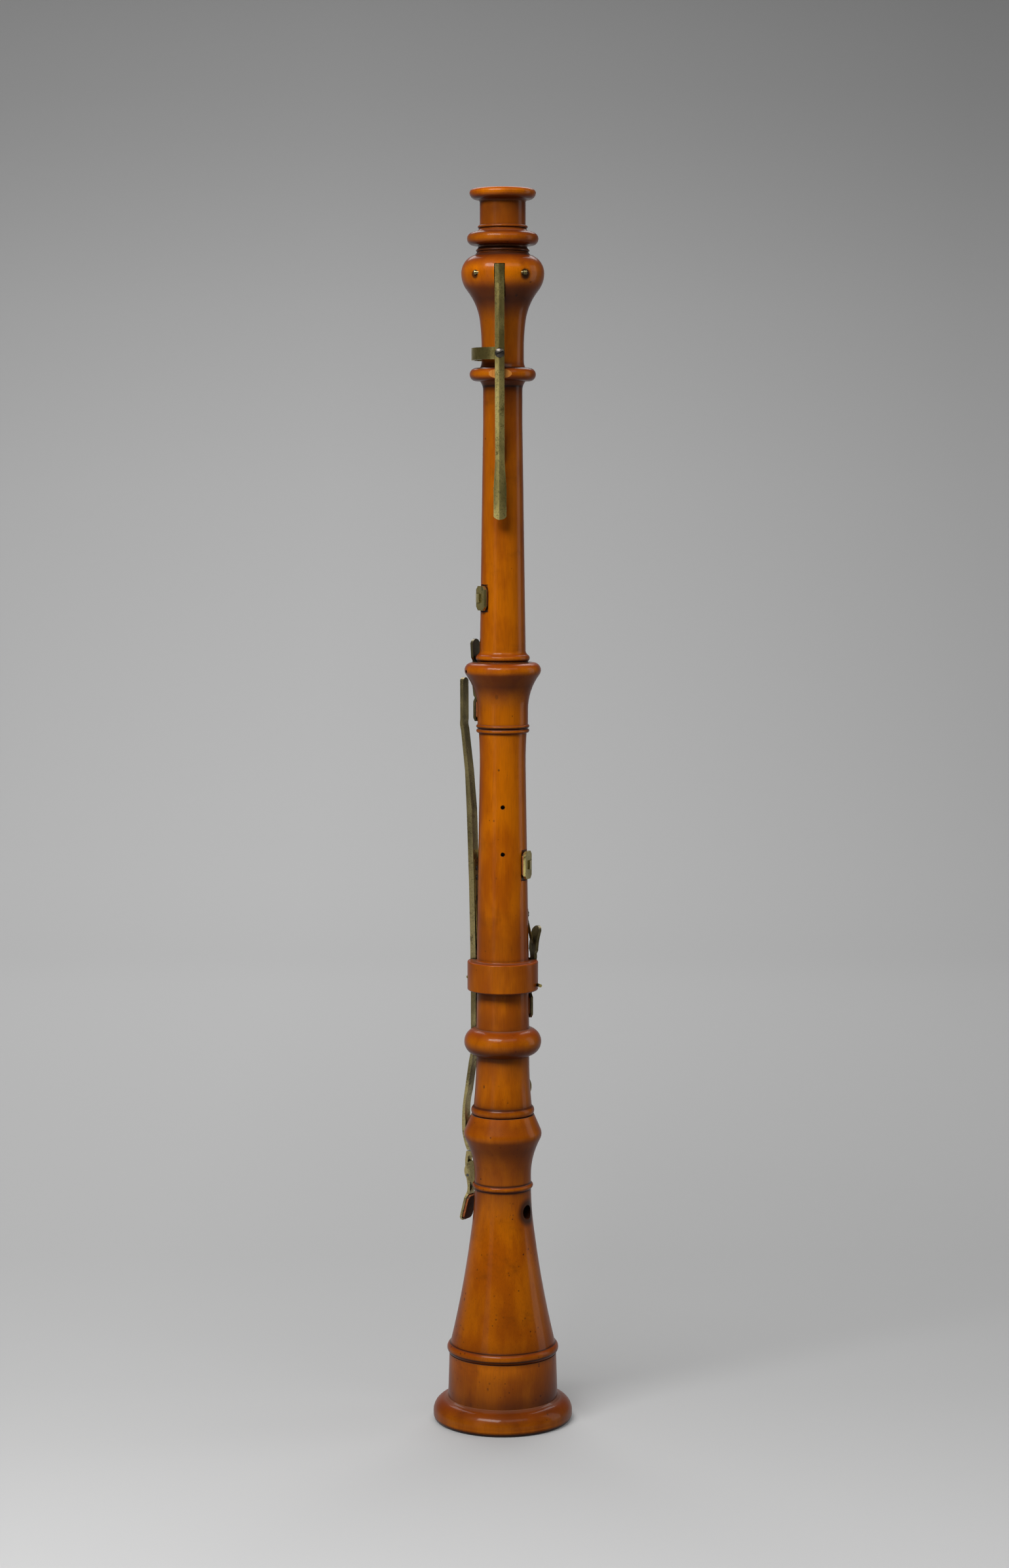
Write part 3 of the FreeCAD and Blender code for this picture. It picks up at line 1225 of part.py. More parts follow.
# Bell key: a short open-standing lever in a screwed saddle, worked by the low B key's tongue
bell_key_pivot_radius = 16.9
bell_key_rise = 1.3
bell_key_reach_up = 11.0
bell_key_reach_down = 21.6
bell_key_opening_angle = 14.5
bell_key_width = 4.0
bell_key_flap_width = 9.0
bell_key_flap_length = 12.9
bell_seat_radius = 12.9
bell_pad_thickness = 1.25
bell_saddle_bed_radius = 12.75
bell_saddle_thickness = 0.85
bell_saddle_foot_drop = 36.4
bell_saddle_length = 15.5
bell_saddle_width = 6.5
bell_saddle_screw_inset = 1.4
bell_ear_radius = 5.3
bell_ear_centre_radius = 13.3
bell_ear_centre_drop = 28.0
bell_spring_foot_drop = 37.7
bell_spring_top_drop = 32.0
bell_key_rest = at("0", "low_b_azimuth")
bell_key_frame = turned_out(bell_key_rest, "bell_key", "bell_key_opening_angle")
bell_plate = "(bell_seat_radius + pad_gap + bell_pad_thickness)"
bell_key_low = "(bell_key_pivot_height - bell_key_reach_down)"
bell_flap_top = f"({bell_key_low} + bell_key_flap_length)"
bell_shank_shares = [(-0.55, -0.25), (1.15, 0), (1.15, 0.1)]
bell_heel_shares = [(-1.75, -0.3)]
bell_tail_shares = [(0.9, -0.1), (1.4, 0.2), (1.5, 0.62), (1, 1), (-0.923, 1), (-0.923, 0.83), (0.35, 0.79),
                    (0.5, 0.2)]
flap_view = [(bell_plate, bell_key_low), (f"{bell_plate} + plate_thickness", bell_key_low),
             (f"{bell_plate} + plate_thickness", f"({bell_flap_top} - plate_corner)")]
flap_view += shared("bell_key", bell_shank_shares) + boss("bell_key") + shared("bell_key", bell_heel_shares)
flap_view.append((bell_plate, bell_flap_top))
flap_blank = padded("bell_key_flap", "XZ_Plane", "bell_key_flap_width", flap_view, pin_eye("bell_key"))
flap_plan = plate_side("bell_key_flap_width", bell_key_low, bell_flap_top)
flap_plan += [("bell_key_width / 2", f"({bell_flap_top} + plate_corner / 2)"),
              ("bell_key_width / 2", "(bell_key_pivot_height + 2 * pin_boss_radius)")]
trimmed(flap_blank, mirrored(flap_plan), "2 * bell_key_flap_width")
bind(flap_blank, Placement=bell_key_frame)
tail_view = shared("bell_key", bell_tail_shares) + boss("bell_key")
tail_blank = bind(padded("bell_key_tail", "XZ_Plane", "bell_key_width", tail_view, pin_eye("bell_key")),
                  Placement=bell_key_rest)
node("bell_key", fused("bell_key", flap_blank, tail_blank))
bell_pad_side = plate_side("(bell_key_flap_width - 2 * pad_inset)", f"({bell_key_low} + pad_inset)",
                           f"({bell_flap_top} - pad_inset)")
bell_pad_place = spot(f"{bell_plate} - bell_pad_thickness / 2", "0", "0")
node("bell_key_pad", bind(padded("bell_key_pad", "YZ_Plane", "bell_pad_thickness", mirrored(bell_pad_side)),
                          Placement=f"{bell_key_frame} * {bell_pad_place}"))
ear_view = [("bell_saddle_bed_radius", "bell_ear_centre_height - bell_ear_radius"),
            ("bell_ear_centre_radius", "bell_ear_centre_height - bell_ear_radius"),
            ("bell_ear_centre_radius + bell_ear_radius", "bell_ear_centre_height", "bell_ear_radius", 1),
            ("bell_ear_centre_radius", "bell_ear_centre_height + bell_ear_radius", "bell_ear_radius", 1),
            ("bell_saddle_bed_radius", "bell_ear_centre_height + bell_ear_radius")]
saddle_face = "(bell_saddle_bed_radius + bell_saddle_thickness)"
saddle_parts = [block(bell_key_rest, "bell_saddle_bed_radius", "bell_saddle_foot_height",
                      "bell_saddle_thickness", "bell_saddle_width", "bell_saddle_length")]
for side in ("-", ""):
    ear = padded("bell_ear", "XZ_Plane", "cheek_thickness", ear_view,
                 ("bell_key_pivot_radius", "bell_key_pivot_height", "pin_radius"))
    offset = f"{side}(bell_key_width / 2 + cheek_thickness / 2 + 2 * running_clearance)"
    saddle_parts.append(bind(ear, Placement=f"{bell_key_rest} * {spot('0', offset, '0')}"))
saddle_spots = [(bell_key_rest, saddle_face, "bell_saddle_foot_height + bell_saddle_screw_inset"),
                (bell_key_rest, saddle_face,
                 "bell_saddle_foot_height + bell_saddle_length - bell_saddle_screw_inset")]
node("bell_key_saddle", cut("bell_key_saddle", fused("bell_saddle_blank", *saddle_parts),
                            *(screw_hole(*place) for place in saddle_spots)))
node("bell_key_saddle_screws", grouped("bell_key_saddle_screws",
                                       *(small_screw(*place) for place in saddle_spots)))
bell_pin_half = "(bell_key_width / 2 + cheek_thickness + 2 * running_clearance)"
node("bell_key_pivot_pin", tangent_rod(bell_key_rest, "bell_key_pivot_radius", "bell_key_pivot_height",
                                       "pin_radius", f"-{bell_pin_half}", f"2 * {bell_pin_half}"))
node("bell_key_spring", leaf("bell_key_spring", bell_key_rest, [
    ("bell_key_pivot_radius - 0.92 * bell_key_rise", "bell_spring_foot_height"),
    (f"{saddle_face} + running_clearance", "bell_spring_top_height"),
    (f"{saddle_face} + running_clearance", "bell_spring_top_height + spring_width / 2"),
]))
bell_cuts.extend(screw_hole(*place) for place in saddle_spots)
bell_cuts.append(block(bell_key_rest, "bell_saddle_bed_radius", "bell_saddle_foot_height - running_clearance",
                       "bulb_radius", "2 * bell_saddle_width", "bell_saddle_length + 2 * running_clearance"))
bell_cuts.append(block(bell_key_rest, "bell_seat_radius", f"{bell_key_low} - key_clearance", "bulb_radius",
                       "3 * bell_key_flap_width", "bell_key_flap_length + 2 * key_clearance"))
bell_cuts.append(radial_rod(bell_key_rest, "0", "0", f"{bell_key_low} + bell_key_flap_length / 2",
                            "resonance_radius", "bulb_radius"))

# Open resonance hole in the bell, finger holes up the front, thumb-rest holes behind
open_resonance_azimuth = 58.0
bell_cuts.append(radial_rod(at("0", "open_resonance_azimuth"), "0", "0", "resonance_height",
                            "resonance_radius", "bulb_radius"))
upper_front, lower_front = at(upper_foot, "180"), at(lower_foot, "180")
for hole in ("first", "second"):
    upper_cuts.append(radial_rod(upper_front, "0", "0", f"{hole}_hole_height", f"{hole}_hole_radius",
                                 "bulb_radius"))
for hole in ("fifth", "sixth"):
    lower_cuts.append(radial_rod(lower_front, "0", "0", f"{hole}_hole_height", f"{hole}_hole_radius",
                                 "bulb_radius"))
for side in ("", "-"):
    upper_cuts.append(radial_rod(upper_front, "0", f"{side}twin_hole_pitch / 2", "third_hole_height",
                                 "twin_hole_radius", "bulb_radius"))
    lower_cuts.append(radial_rod(lower_front, "0", f"{side}twin_hole_pitch / 2", "fourth_hole_height",
                                 "twin_hole_radius", "bulb_radius"))
for rise in ("0", "rest_hole_pitch"):
    lower_cuts.append(radial_rod(at(lower_foot, "0"), f"{body_radius('rest_hole_height')} - rest_hole_depth",
                                 "0", f"rest_hole_height + {rise}", "rest_hole_radius", "bulb_radius"))

# The three joints, bored and filed for their keys, and the thread lappings of the tenons
bind(lower_blank, Placement=at(lower_foot))
bind(upper_blank, Placement=at(upper_foot))
node("bell", cut("bell", bell_blank, *bell_cuts))
node("lower_joint", cut("lower_joint", lower_blank, *lower_cuts))
node("upper_joint", cut("upper_joint", upper_blank, *upper_cuts))


def lapping(name, foot, inner, outer, low, high):
    """Waxed thread wound in a tenon's groove, level and a little proud of the tenon."""
    ring = turned(name, [(inner, low), (outer, low), (outer, high), (inner, high)])
    return node(name, bind(ring, Placement=at(foot)))


lapping("lower_tenon_lapping", lower_foot, "lower_lapping_floor", "bell_socket_radius - tenon_clearance",
        "-lower_lapping_foot", "-lower_lapping_top")
lapping("upper_tenon_lapping", upper_foot, "upper_lapping_floor + running_clearance",
        "upper_socket_radius - tenon_clearance", "-upper_lapping_foot + running_clearance",
        "-upper_lapping_top - running_clearance")

doc.recompute()
faults = [thing.Label for thing in doc.Objects if {"Invalid", "Error"} & set(thing.State)]
faults += [piece.Label for piece in pieces if piece.Shape.isNull() or not piece.Shape.isValid()]
if faults:
    raise ValueError(f"these did not build: {faults}")
os.makedirs("parts", exist_ok=True)
for piece in pieces:
    piece.Shape.exportStep(f"parts/{piece.Label}.step")
print(len(pieces), "sub-parts written")
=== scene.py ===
import math

import bpy
import numpy as np
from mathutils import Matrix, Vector


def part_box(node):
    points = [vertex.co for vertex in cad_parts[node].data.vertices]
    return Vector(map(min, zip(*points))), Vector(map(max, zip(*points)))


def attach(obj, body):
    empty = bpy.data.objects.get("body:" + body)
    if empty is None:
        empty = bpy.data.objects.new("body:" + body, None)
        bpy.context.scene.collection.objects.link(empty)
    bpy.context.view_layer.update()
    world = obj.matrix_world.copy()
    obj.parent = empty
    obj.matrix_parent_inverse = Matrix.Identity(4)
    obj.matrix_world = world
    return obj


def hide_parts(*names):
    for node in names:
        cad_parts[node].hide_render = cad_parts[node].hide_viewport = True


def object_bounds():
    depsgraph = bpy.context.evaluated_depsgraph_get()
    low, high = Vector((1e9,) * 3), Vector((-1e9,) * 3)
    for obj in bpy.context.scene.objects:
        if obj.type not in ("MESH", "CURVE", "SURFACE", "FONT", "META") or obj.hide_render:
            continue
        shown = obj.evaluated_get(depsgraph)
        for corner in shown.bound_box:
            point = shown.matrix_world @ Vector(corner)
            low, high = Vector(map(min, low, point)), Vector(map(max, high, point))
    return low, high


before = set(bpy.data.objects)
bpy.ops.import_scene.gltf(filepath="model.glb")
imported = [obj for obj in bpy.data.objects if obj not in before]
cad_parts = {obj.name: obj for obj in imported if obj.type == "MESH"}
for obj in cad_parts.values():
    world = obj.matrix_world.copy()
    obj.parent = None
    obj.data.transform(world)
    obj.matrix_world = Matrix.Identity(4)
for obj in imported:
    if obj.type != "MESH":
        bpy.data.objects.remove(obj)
drawn_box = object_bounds()

# View: the photograph is taken from the thumb side, a little above the middle of the oboe
# and tipped down so that the floor in front of the bell shows. The picture is 1540 by 2392.
camera_side = 0.0008
camera_back = -1.385
camera_height = 0.429
camera_dip = 5.52
picture_tall = 2392
focus_in_pixels = 4667
film_tall = 36.0
scene = bpy.context.scene
bpy.ops.object.select_all(action="DESELECT")
bpy.ops.object.camera_add(location=(camera_side, camera_back, camera_height),
                          rotation=(math.radians(90 - camera_dip), 0, 0))
camera = bpy.context.active_object
camera.data.sensor_fit = "VERTICAL"
camera.data.sensor_height = film_tall
camera.data.lens = film_tall * focus_in_pixels / picture_tall
camera.data.clip_start = 0.01
scene.camera = camera
scene.view_settings.view_transform = "Standard"


# Boxwood: three joints turned on the lathe, stained honey orange with acid and oiled to a soft
# gloss. The grain runs up the tube. End grain on the beads has drunk more stain and is redder.
def tone(red, green, blue):
    """A colour given as it looks in daylight, 0 to 255, turned into plain light."""
    steps = [part / 255 for part in (red, green, blue)]
    return [part / 12.92 if part < 0.04045 else ((part + 0.055) / 1.055) ** 2.4 for part in steps] + [1]


def put(tree, kind, inputs=None, **settings):
    """Add a node; each input is given a plain value or is joined to another node's socket."""
    made = tree.nodes.new("ShaderNode" + kind)
    for name, setting in settings.items():
        setattr(made, name, setting)
    for name, given in (inputs or {}).items():
        if isinstance(given, bpy.types.NodeSocket):
            tree.links.new(given, made.inputs[name])
        else:
            made.inputs[name].default_value = given
    return made


def reckon(tree, operation, *terms):
    return put(tree, "Math", dict(enumerate(terms)), operation=operation).outputs[0]


def between(tree, measured, low, high):
    """0 below the low value, 1 above the high one, and a soft step between them."""
    made = put(tree, "MapRange", {"Value": measured, "From Min": low, "From Max": high},
               interpolation_type="SMOOTHSTEP")
    return made.outputs[0]


def blended(tree, share, under, over):
    """One colour laid over another by a share."""
    return put(tree, "Mix", {0: share, 6: under, 7: over}, data_type="RGBA").outputs[2]


def coated(tree, mask, most, under, over):
    """One colour laid over another where a mask says, and no more than the most."""
    return blended(tree, reckon(tree, "MULTIPLY", mask, most), under, over)


def looked_up(tree, measured, table):
    """A value read off a table of places and values, even between two of its places."""
    low, high = table[0][0], table[-1][0]
    share = put(tree, "MapRange", {"Value": measured, "From Min": low, "From Max": high}).outputs[0]
    ramp = put(tree, "ValToRGB", {0: share})
    while len(ramp.color_ramp.elements) < len(table):
        ramp.color_ramp.elements.new(0.5)
    for stop, (at, value) in zip(ramp.color_ramp.elements, table):
        stop.position = (at - low) / (high - low)
        stop.color = (value, value, value, 1)
    return ramp.outputs[0]


def stretched(tree, vector, *scale):
    return put(tree, "Mapping", {"Vector": vector, "Scale": scale}).outputs[0]


def cloud(tree, vector, scale, detail=3.0, rough=0.55):
    return put(tree, "TexNoise", {"Vector": vector, "Scale": scale, "Detail": detail,
                                  "Roughness": rough}).outputs[0]


def effect(name, takes, gives):
    """A named group of nodes with its own sockets; returns the group, its inputs and its end."""
    group = bpy.data.node_groups.new(name, "ShaderNodeTree")
    for socket, usual in takes.items():
        kind = "NodeSocketVector" if usual is None else "NodeSocketFloat"
        made = group.interface.new_socket(socket, in_out="INPUT", socket_type=kind)
        if usual is not None:
            made.default_value = usual
    for socket in gives:
        group.interface.new_socket(socket, in_out="OUTPUT", socket_type="NodeSocketFloat")
    start = group.nodes.new("NodeGroupInput")
    end = group.nodes.new("NodeGroupOutput")
    return group, start.outputs, lambda socket, value: group.links.new(value, end.inputs[socket])


def apply_effect(tree, group, inputs):
    return put(tree, "Group", inputs, node_tree=group).outputs


def new_finish(name):
    """A new material; returns it, its nodes and its shader."""
    finish = bpy.data.materials.new(name)
    finish.use_nodes = True
    return finish, finish.node_tree, finish.node_tree.nodes["Principled BSDF"]


def raise_surface(tree, shader, height, strength, distance):
    raised = put(tree, "Bump", {"Height": height, "Strength": strength, "Distance": distance})
    tree.links.new(raised.outputs[0], shader.inputs["Normal"])


grain_clouds = {"Fibre": (0.02, 4800, 3, 0.55), "Figure": (0.35, 75, 4, 0.6), "Streak": (0.06, 330, 3, 0.55)}
long_grain, takes, give = effect("long grain", {"Place": None}, tuple(grain_clouds))
for part, (lengthwise, scale, detail, rough) in grain_clouds.items():
    drawn_out = stretched(long_grain, takes["Place"], 1, 1, lengthwise)
    give(part, cloud(long_grain, drawn_out, scale, detail, rough))

# Occlusion darkening in hollows, creases and between parts: dirt, and painted shade where less light reaches.
hollow_dirt_and_shade, takes, give = effect("hollow dirt and shade", {"Reach": 0.002, "Depth": 1.0}, ("Dirt", "Dust"))
open_share = put(hollow_dirt_and_shade, "AmbientOcclusion", {"Distance": takes["Reach"]}, samples=6).outputs["AO"]
closed_share = reckon(hollow_dirt_and_shade, "SUBTRACT", 1.0, open_share)
filled = between(hollow_dirt_and_shade, closed_share, 0.14, 0.58)
give("Dirt", reckon(hollow_dirt_and_shade, "MULTIPLY", filled, takes["Depth"]))
give("Dust", between(hollow_dirt_and_shade, closed_share, 0.04, 0.3))

dark_specks, takes, give = effect("dark specks", {"Place": None, "Size": 0.0016, "Kept": 0.2}, ("Speck",))
cells = put(dark_specks, "TexVoronoi", {
    "Vector": takes["Place"], "Scale": reckon(dark_specks, "DIVIDE", 1.0, takes["Size"])})
lot = put(dark_specks, "SeparateColor", {0: cells.outputs["Color"]})
drawn_lot = reckon(dark_specks, "LESS_THAN", lot.outputs[0], takes["Kept"])
spread = between(dark_specks, cloud(dark_specks, takes["Place"], 70), 0.47, 0.62)
speck_half = reckon(dark_specks, "MULTIPLY", lot.outputs[1], 0.27)
dot = between(dark_specks, reckon(dark_specks, "SUBTRACT", speck_half, cells.outputs["Distance"]), -0.06, 0.05)
give("Speck", reckon(dark_specks, "MULTIPLY", dot, reckon(dark_specks, "MULTIPLY", drawn_lot, spread)))

# Convex edges: worn bright on the brass keys, painted sheen on the wood.
edge_wear_and_sheen, takes, give = effect("edge wear and sheen", {"Width": 0.0003}, ("Edge",))
rounded = put(edge_wear_and_sheen, "Bevel", {"Radius": takes["Width"]}, samples=4).outputs[0]
true_face = put(edge_wear_and_sheen, "NewGeometry").outputs["True Normal"]
agree = put(edge_wear_and_sheen, "VectorMath", {0: rounded, 1: true_face}, operation="DOT_PRODUCT").outputs["Value"]
give("Edge", between(edge_wear_and_sheen, reckon(edge_wear_and_sheen, "SUBTRACT", 1.0, agree), 0.02, 0.2))

honey = tone(196, 105, 0)
amber = tone(168, 83, 0)
red_stain = tone(142, 54, 3)
stain_and_shade_brown = tone(80, 36, 9)
dirt_and_shade_brown = tone(30, 15, 9)
speck_brown = tone(52, 26, 12)
limb_shade_brown = tone(104, 38, 8)
raw_boxwood = tone(192, 126, 58)
shelf_dust = tone(118, 90, 74)
most_streak, most_end_grain, most_fibre = 0.2, 0.72, 0.26
most_mark, most_edge_sheen, most_limb_shade, most_dust, most_inside_dirt_and_shade = 0.8, 0.35, 0.6, 0.55, 0.75
speck_size, nick_size, nick_long, nicks = 0.002, 0.003, 0.6, 0.06
edge_sheen_width, hollow_dirt_shade_reach, hollow_dirt_shade_depth = 0.0006, 0.0038, 0.92
inward_limit = -0.0005
line_core, smudge_core = 0.4, 0.55
glossiest, dullest = 0.25, 0.38


def boxwood(name, specks, stains, bands, lines, flat=None, smudges=()):
    """Stained boxwood with a share of specks and of stains. Bands are heights and how dark the
    stain and the painted shade are there. Lines are narrow dirt and painted shade in the turned
    quirks: height, half width, depth. A flat is where a later cut has bared the wood: outward,
    face, low and high. A smudge is a place, its size and its depth."""
    finish, tree, shader = new_finish(name)
    coordinates = put(tree, "TexCoord").outputs
    place, facing = coordinates["Object"], coordinates["Normal"]
    height = put(tree, "SeparateXYZ", {0: place}).outputs[2]
    rise = put(tree, "SeparateXYZ", {0: facing}).outputs[2]
    grain = apply_effect(tree, long_grain, {"Place": place})
    colour = blended(tree, between(tree, grain["Figure"], 0.4, 0.62), honey, amber)
    colour = coated(tree, between(tree, grain["Streak"], 0.45, 0.8), most_streak, colour, red_stain)
    end_grain = between(tree, reckon(tree, "ABSOLUTE", rise), 0.12, 0.85)
    colour = coated(tree, end_grain, most_end_grain, colour, red_stain)

    # Bands darken the wood by height: stain, and painted shade set ring by ring, with less of it where
    # highlights fall.
    uneven = put(tree, "MapRange", {"Value": cloud(tree, stretched(tree, place, 1, 1, 0.5), 60, 3),
                                    "To Min": 0.55, "To Max": 1.45}).outputs[0]
    colour = coated(tree, looked_up(tree, height, bands), uneven, colour, stain_and_shade_brown)
    blotch = between(tree, cloud(tree, stretched(tree, place, 1, 1, 1.6), 42, 5, 0.65), 0.56, 0.72)
    colour = coated(tree, blotch, stains, colour, dirt_and_shade_brown)
    colour = coated(tree, between(tree, grain["Fibre"], 0.45, 0.72), most_fibre, colour, stain_and_shade_brown)
    speck = apply_effect(tree, dark_specks, {"Place": place, "Size": speck_size, "Kept": specks})["Speck"]
    nick = apply_effect(tree, dark_specks, {"Place": stretched(tree, place, 1, 1, nick_long),
                                            "Size": nick_size, "Kept": nicks})["Speck"]
    marks = reckon(tree, "MAXIMUM", speck, nick)
    colour = coated(tree, marks, most_mark, colour, speck_brown)
    # Painted sheen: convex edges and bead crests of the wood are lightened towards honey.
    edge = apply_effect(tree, edge_wear_and_sheen, {"Width": edge_sheen_width})["Edge"]
    colour = coated(tree, edge, most_edge_sheen, colour, honey)

    # Painted shade: the wood darkens towards its outline, where the surface turns away from view.
    limb = put(tree, "LayerWeight", {"Blend": 0.5}).outputs["Facing"]
    colour = coated(tree, between(tree, limb, 0.3, 0.95), most_limb_shade, colour, limb_shade_brown)
    # Painted shade and dirt: hollows, quirks and the wood beside the keys are darkened by occlusion.
    settled = apply_effect(tree, hollow_dirt_and_shade, {"Reach": hollow_dirt_shade_reach, "Depth": hollow_dirt_shade_depth})
    colour = blended(tree, settled["Dirt"], colour, dirt_and_shade_brown)
    ledge = reckon(tree, "MULTIPLY", between(tree, rise, 0.6, 0.95), settled["Dust"])
    colour = coated(tree, ledge, most_dust, colour, shelf_dust)
    # Painted shade and dirt inside the bore, sockets and holes: faces that look towards the axis are darkened.
    across = put(tree, "VectorMath", {0: place, 1: (1, 1, 0)}, operation="MULTIPLY").outputs[0]
    outward = put(tree, "VectorMath", {0: across, 1: facing}, operation="DOT_PRODUCT").outputs["Value"]
    inside = reckon(tree, "LESS_THAN", outward, inward_limit)
    colour = coated(tree, inside, most_inside_dirt_and_shade, colour, dirt_and_shade_brown)
    # Dirt and painted shade in the turned quirks.
    for middle, half, deep in lines:
        away = reckon(tree, "ABSOLUTE", reckon(tree, "SUBTRACT", height, middle))
        drawn = reckon(tree, "SUBTRACT", 1.0, between(tree, away, line_core * half, half))
        colour = coated(tree, drawn, deep, colour, dirt_and_shade_brown)
    # Smudges: a stain smear round the open hole, and painted shade in the recesses round the pivot screw's
    # ends.
    for middle, size, deep in smudges:
        away = put(tree, "VectorMath", {0: place, 1: middle}, operation="DISTANCE").outputs["Value"]
        round_darkening = reckon(tree, "SUBTRACT", 1.0, between(tree, away, smudge_core * size, size))
        colour = coated(tree, round_darkening, deep, colour, dirt_and_shade_brown)
    if flat:
        direction, face, low, high = flat
        out = put(tree, "VectorMath", {0: place, 1: direction}, operation="DOT_PRODUCT").outputs["Value"]
        bared = between(tree, grain["Fibre"], 0.2, 0.55)
        for measured, test, limit in ((height, "GREATER_THAN", low), (height, "LESS_THAN", high),
                                      (out, "GREATER_THAN", face)):
            bared = reckon(tree, "MULTIPLY", bared, reckon(tree, test, measured, limit))
        colour = blended(tree, bared, colour, raw_boxwood)

    tree.links.new(colour, shader.inputs["Base Color"])
    polish = put(tree, "MapRange", {"Value": grain["Figure"], "To Min": glossiest, "To Max": dullest})
    tree.links.new(polish.outputs[0], shader.inputs["Roughness"])
    shader.inputs["Specular IOR Level"].default_value = 0.06
    shader.inputs["Coat Weight"].default_value = 0.16
    shader.inputs["Coat Roughness"].default_value = 0.08
    relief = reckon(tree, "SUBTRACT", reckon(tree, "MULTIPLY", grain["Fibre"], -0.25), marks)
    raise_surface(tree, shader, relief, 0.12, 0.0002)
    return finish


def finish_nodes(finish, *names):
    for name in names:
        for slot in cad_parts[name].material_slots:
            slot.material = finish


thumb_turn = math.radians(-4.5)
thumb_side = (math.sin(thumb_turn), -math.cos(thumb_turn), 0)
# Heights along each joint and how dark the stain and the painted shade are there.
bell_bands = (
    (0, 0), (0.006, 0.5), (0.0125, 0.8), (0.0175, 0.5), (0.0236, 0.3), (0.029, 0),  # rim and drum
    (0.032, 0.35), (0.0355, 0.3), (0.0363, 0.8), (0.0373, 0.5),  # bead
    (0.042, 0.3), (0.055, 0.25), (0.067, 0.1), (0.08, 0), (0.1, 0.2),  # flare
    (0.1075, 0.45), (0.1084, 1), (0.1093, 0.25), (0.1106, 0.25), (0.1114, 0.95), (0.1123, 0.4),  # waist bead
    (0.1215, 0.4), (0.1275, 0.6), (0.134, 0.15), (0.139, 0.4), (0.143, 0.15))  # socket
lower_bands = (
    (0.143, 0), (0.145, 0.25), (0.147, 0.8), (0.149, 0.35), (0.152, 0.15), (0.158, 0.1),  # foot
    (0.17, 0.3), (0.1735, 0.6), (0.177, 0.2), (0.187, 0.35), (0.192, 0.15),  # bulge
    (0.208, 0.15), (0.222, 0.3), (0.236, 0.1), (0.26, 0), (0.3, 0.05),  # collar and tube
    (0.318, 0.1), (0.3212, 0.6), (0.3235, 0.2), (0.33, 0.3), (0.335, 0.45),  # twin beads
    (0.34, 0.85), (0.344, 0.5), (0.3465, 0.1), (0.3506, 0.3))  # socket ring
upper_bands = (
    (0.3506, 0.25), (0.372, 0.15), (0.39, 0.2), (0.41, 0.3), (0.46, 0.4),  # heel and tube
    (0.4715, 0.75), (0.4745, 1), (0.4765, 0.35), (0.479, 0.2), (0.4812, 0.45), (0.4843, 0.85),  # grip ring
    (0.4855, 0.5), (0.504, 0.55), (0.513, 0.95), (0.517, 0.7), (0.521, 0.1), (0.5265, 0.05),  # bulb
    (0.53, 0.4), (0.533, 1), (0.536, 0.8), (0.5375, 0.1), (0.541, 0.45),  # head ring
    (0.5535, 0.85), (0.5575, 0.6), (0.559, 0.1), (0.562, 0.1))  # neck and flange
# Quirk lines: dirt and painted shade in the turned grooves.
bell_lines = (0.0329, 0.0006, 0.8), (0.0363, 0.0004, 0.7), (0.1084, 0.0004, 0.6), (0.1114, 0.0004, 0.7)
lower_lines = (0.1469, 0.0006, 0.6), (0.3212, 0.0005, 0.7)
upper_lines = (0.4745, 0.0006, 0.6), (0.4826, 0.0007, 0.85), (0.533, 0.001, 0.6), (0.5424, 0.0008, 0.35)
open_hole = ((0.0120, -0.0075, 0.0985), 0.0078, 0.85)
# Painted shade in the recesses round the pivot screw's ends.
screw_left_end = ((-0.0129, -0.0143, 0.5233), 0.0026, 0.85)
screw_right_end = ((0.0106, -0.0162, 0.5233), 0.0034, 0.9)
lever_cut = (thumb_side, 0.01399, 0.4766, 0.4830)
bell_wood = boxwood("bell boxwood", 0.7, 0.3, bell_bands, bell_lines, smudges=(open_hole,))
lower_wood = boxwood("lower boxwood", 0.16, 0.18, lower_bands, lower_lines)
upper_wood = boxwood("upper boxwood", 0.2, 0.24, upper_bands, upper_lines, flat=lever_cut,
                     smudges=(screw_left_end, screw_right_end))
finish_nodes(bell_wood, "bell")
finish_nodes(lower_wood, "lower_joint")
finish_nodes(upper_wood, "upper_joint")

# Brass keywork: cast and filed up by hand, then left to go olive brown. Fingers and sleeves
# keep the edges bright; the filing runs along the levers.
filed_metal, takes, give = effect("filed metal", {"Place": None}, ("Lines", "Patches"))
give("Lines", cloud(filed_metal, stretched(filed_metal, takes["Place"], 1, 1, 0.03), 5200, 2))
give("Patches", cloud(filed_metal, takes["Place"], 260, 5, 0.65))

most_handled, most_fine, most_line, most_bright = 0.8, 0.5, 0.4, 0.6
bright_width, corner_reach, corner_depth = 0.00025, 0.0015, 0.9
patch_rougher = 0.16


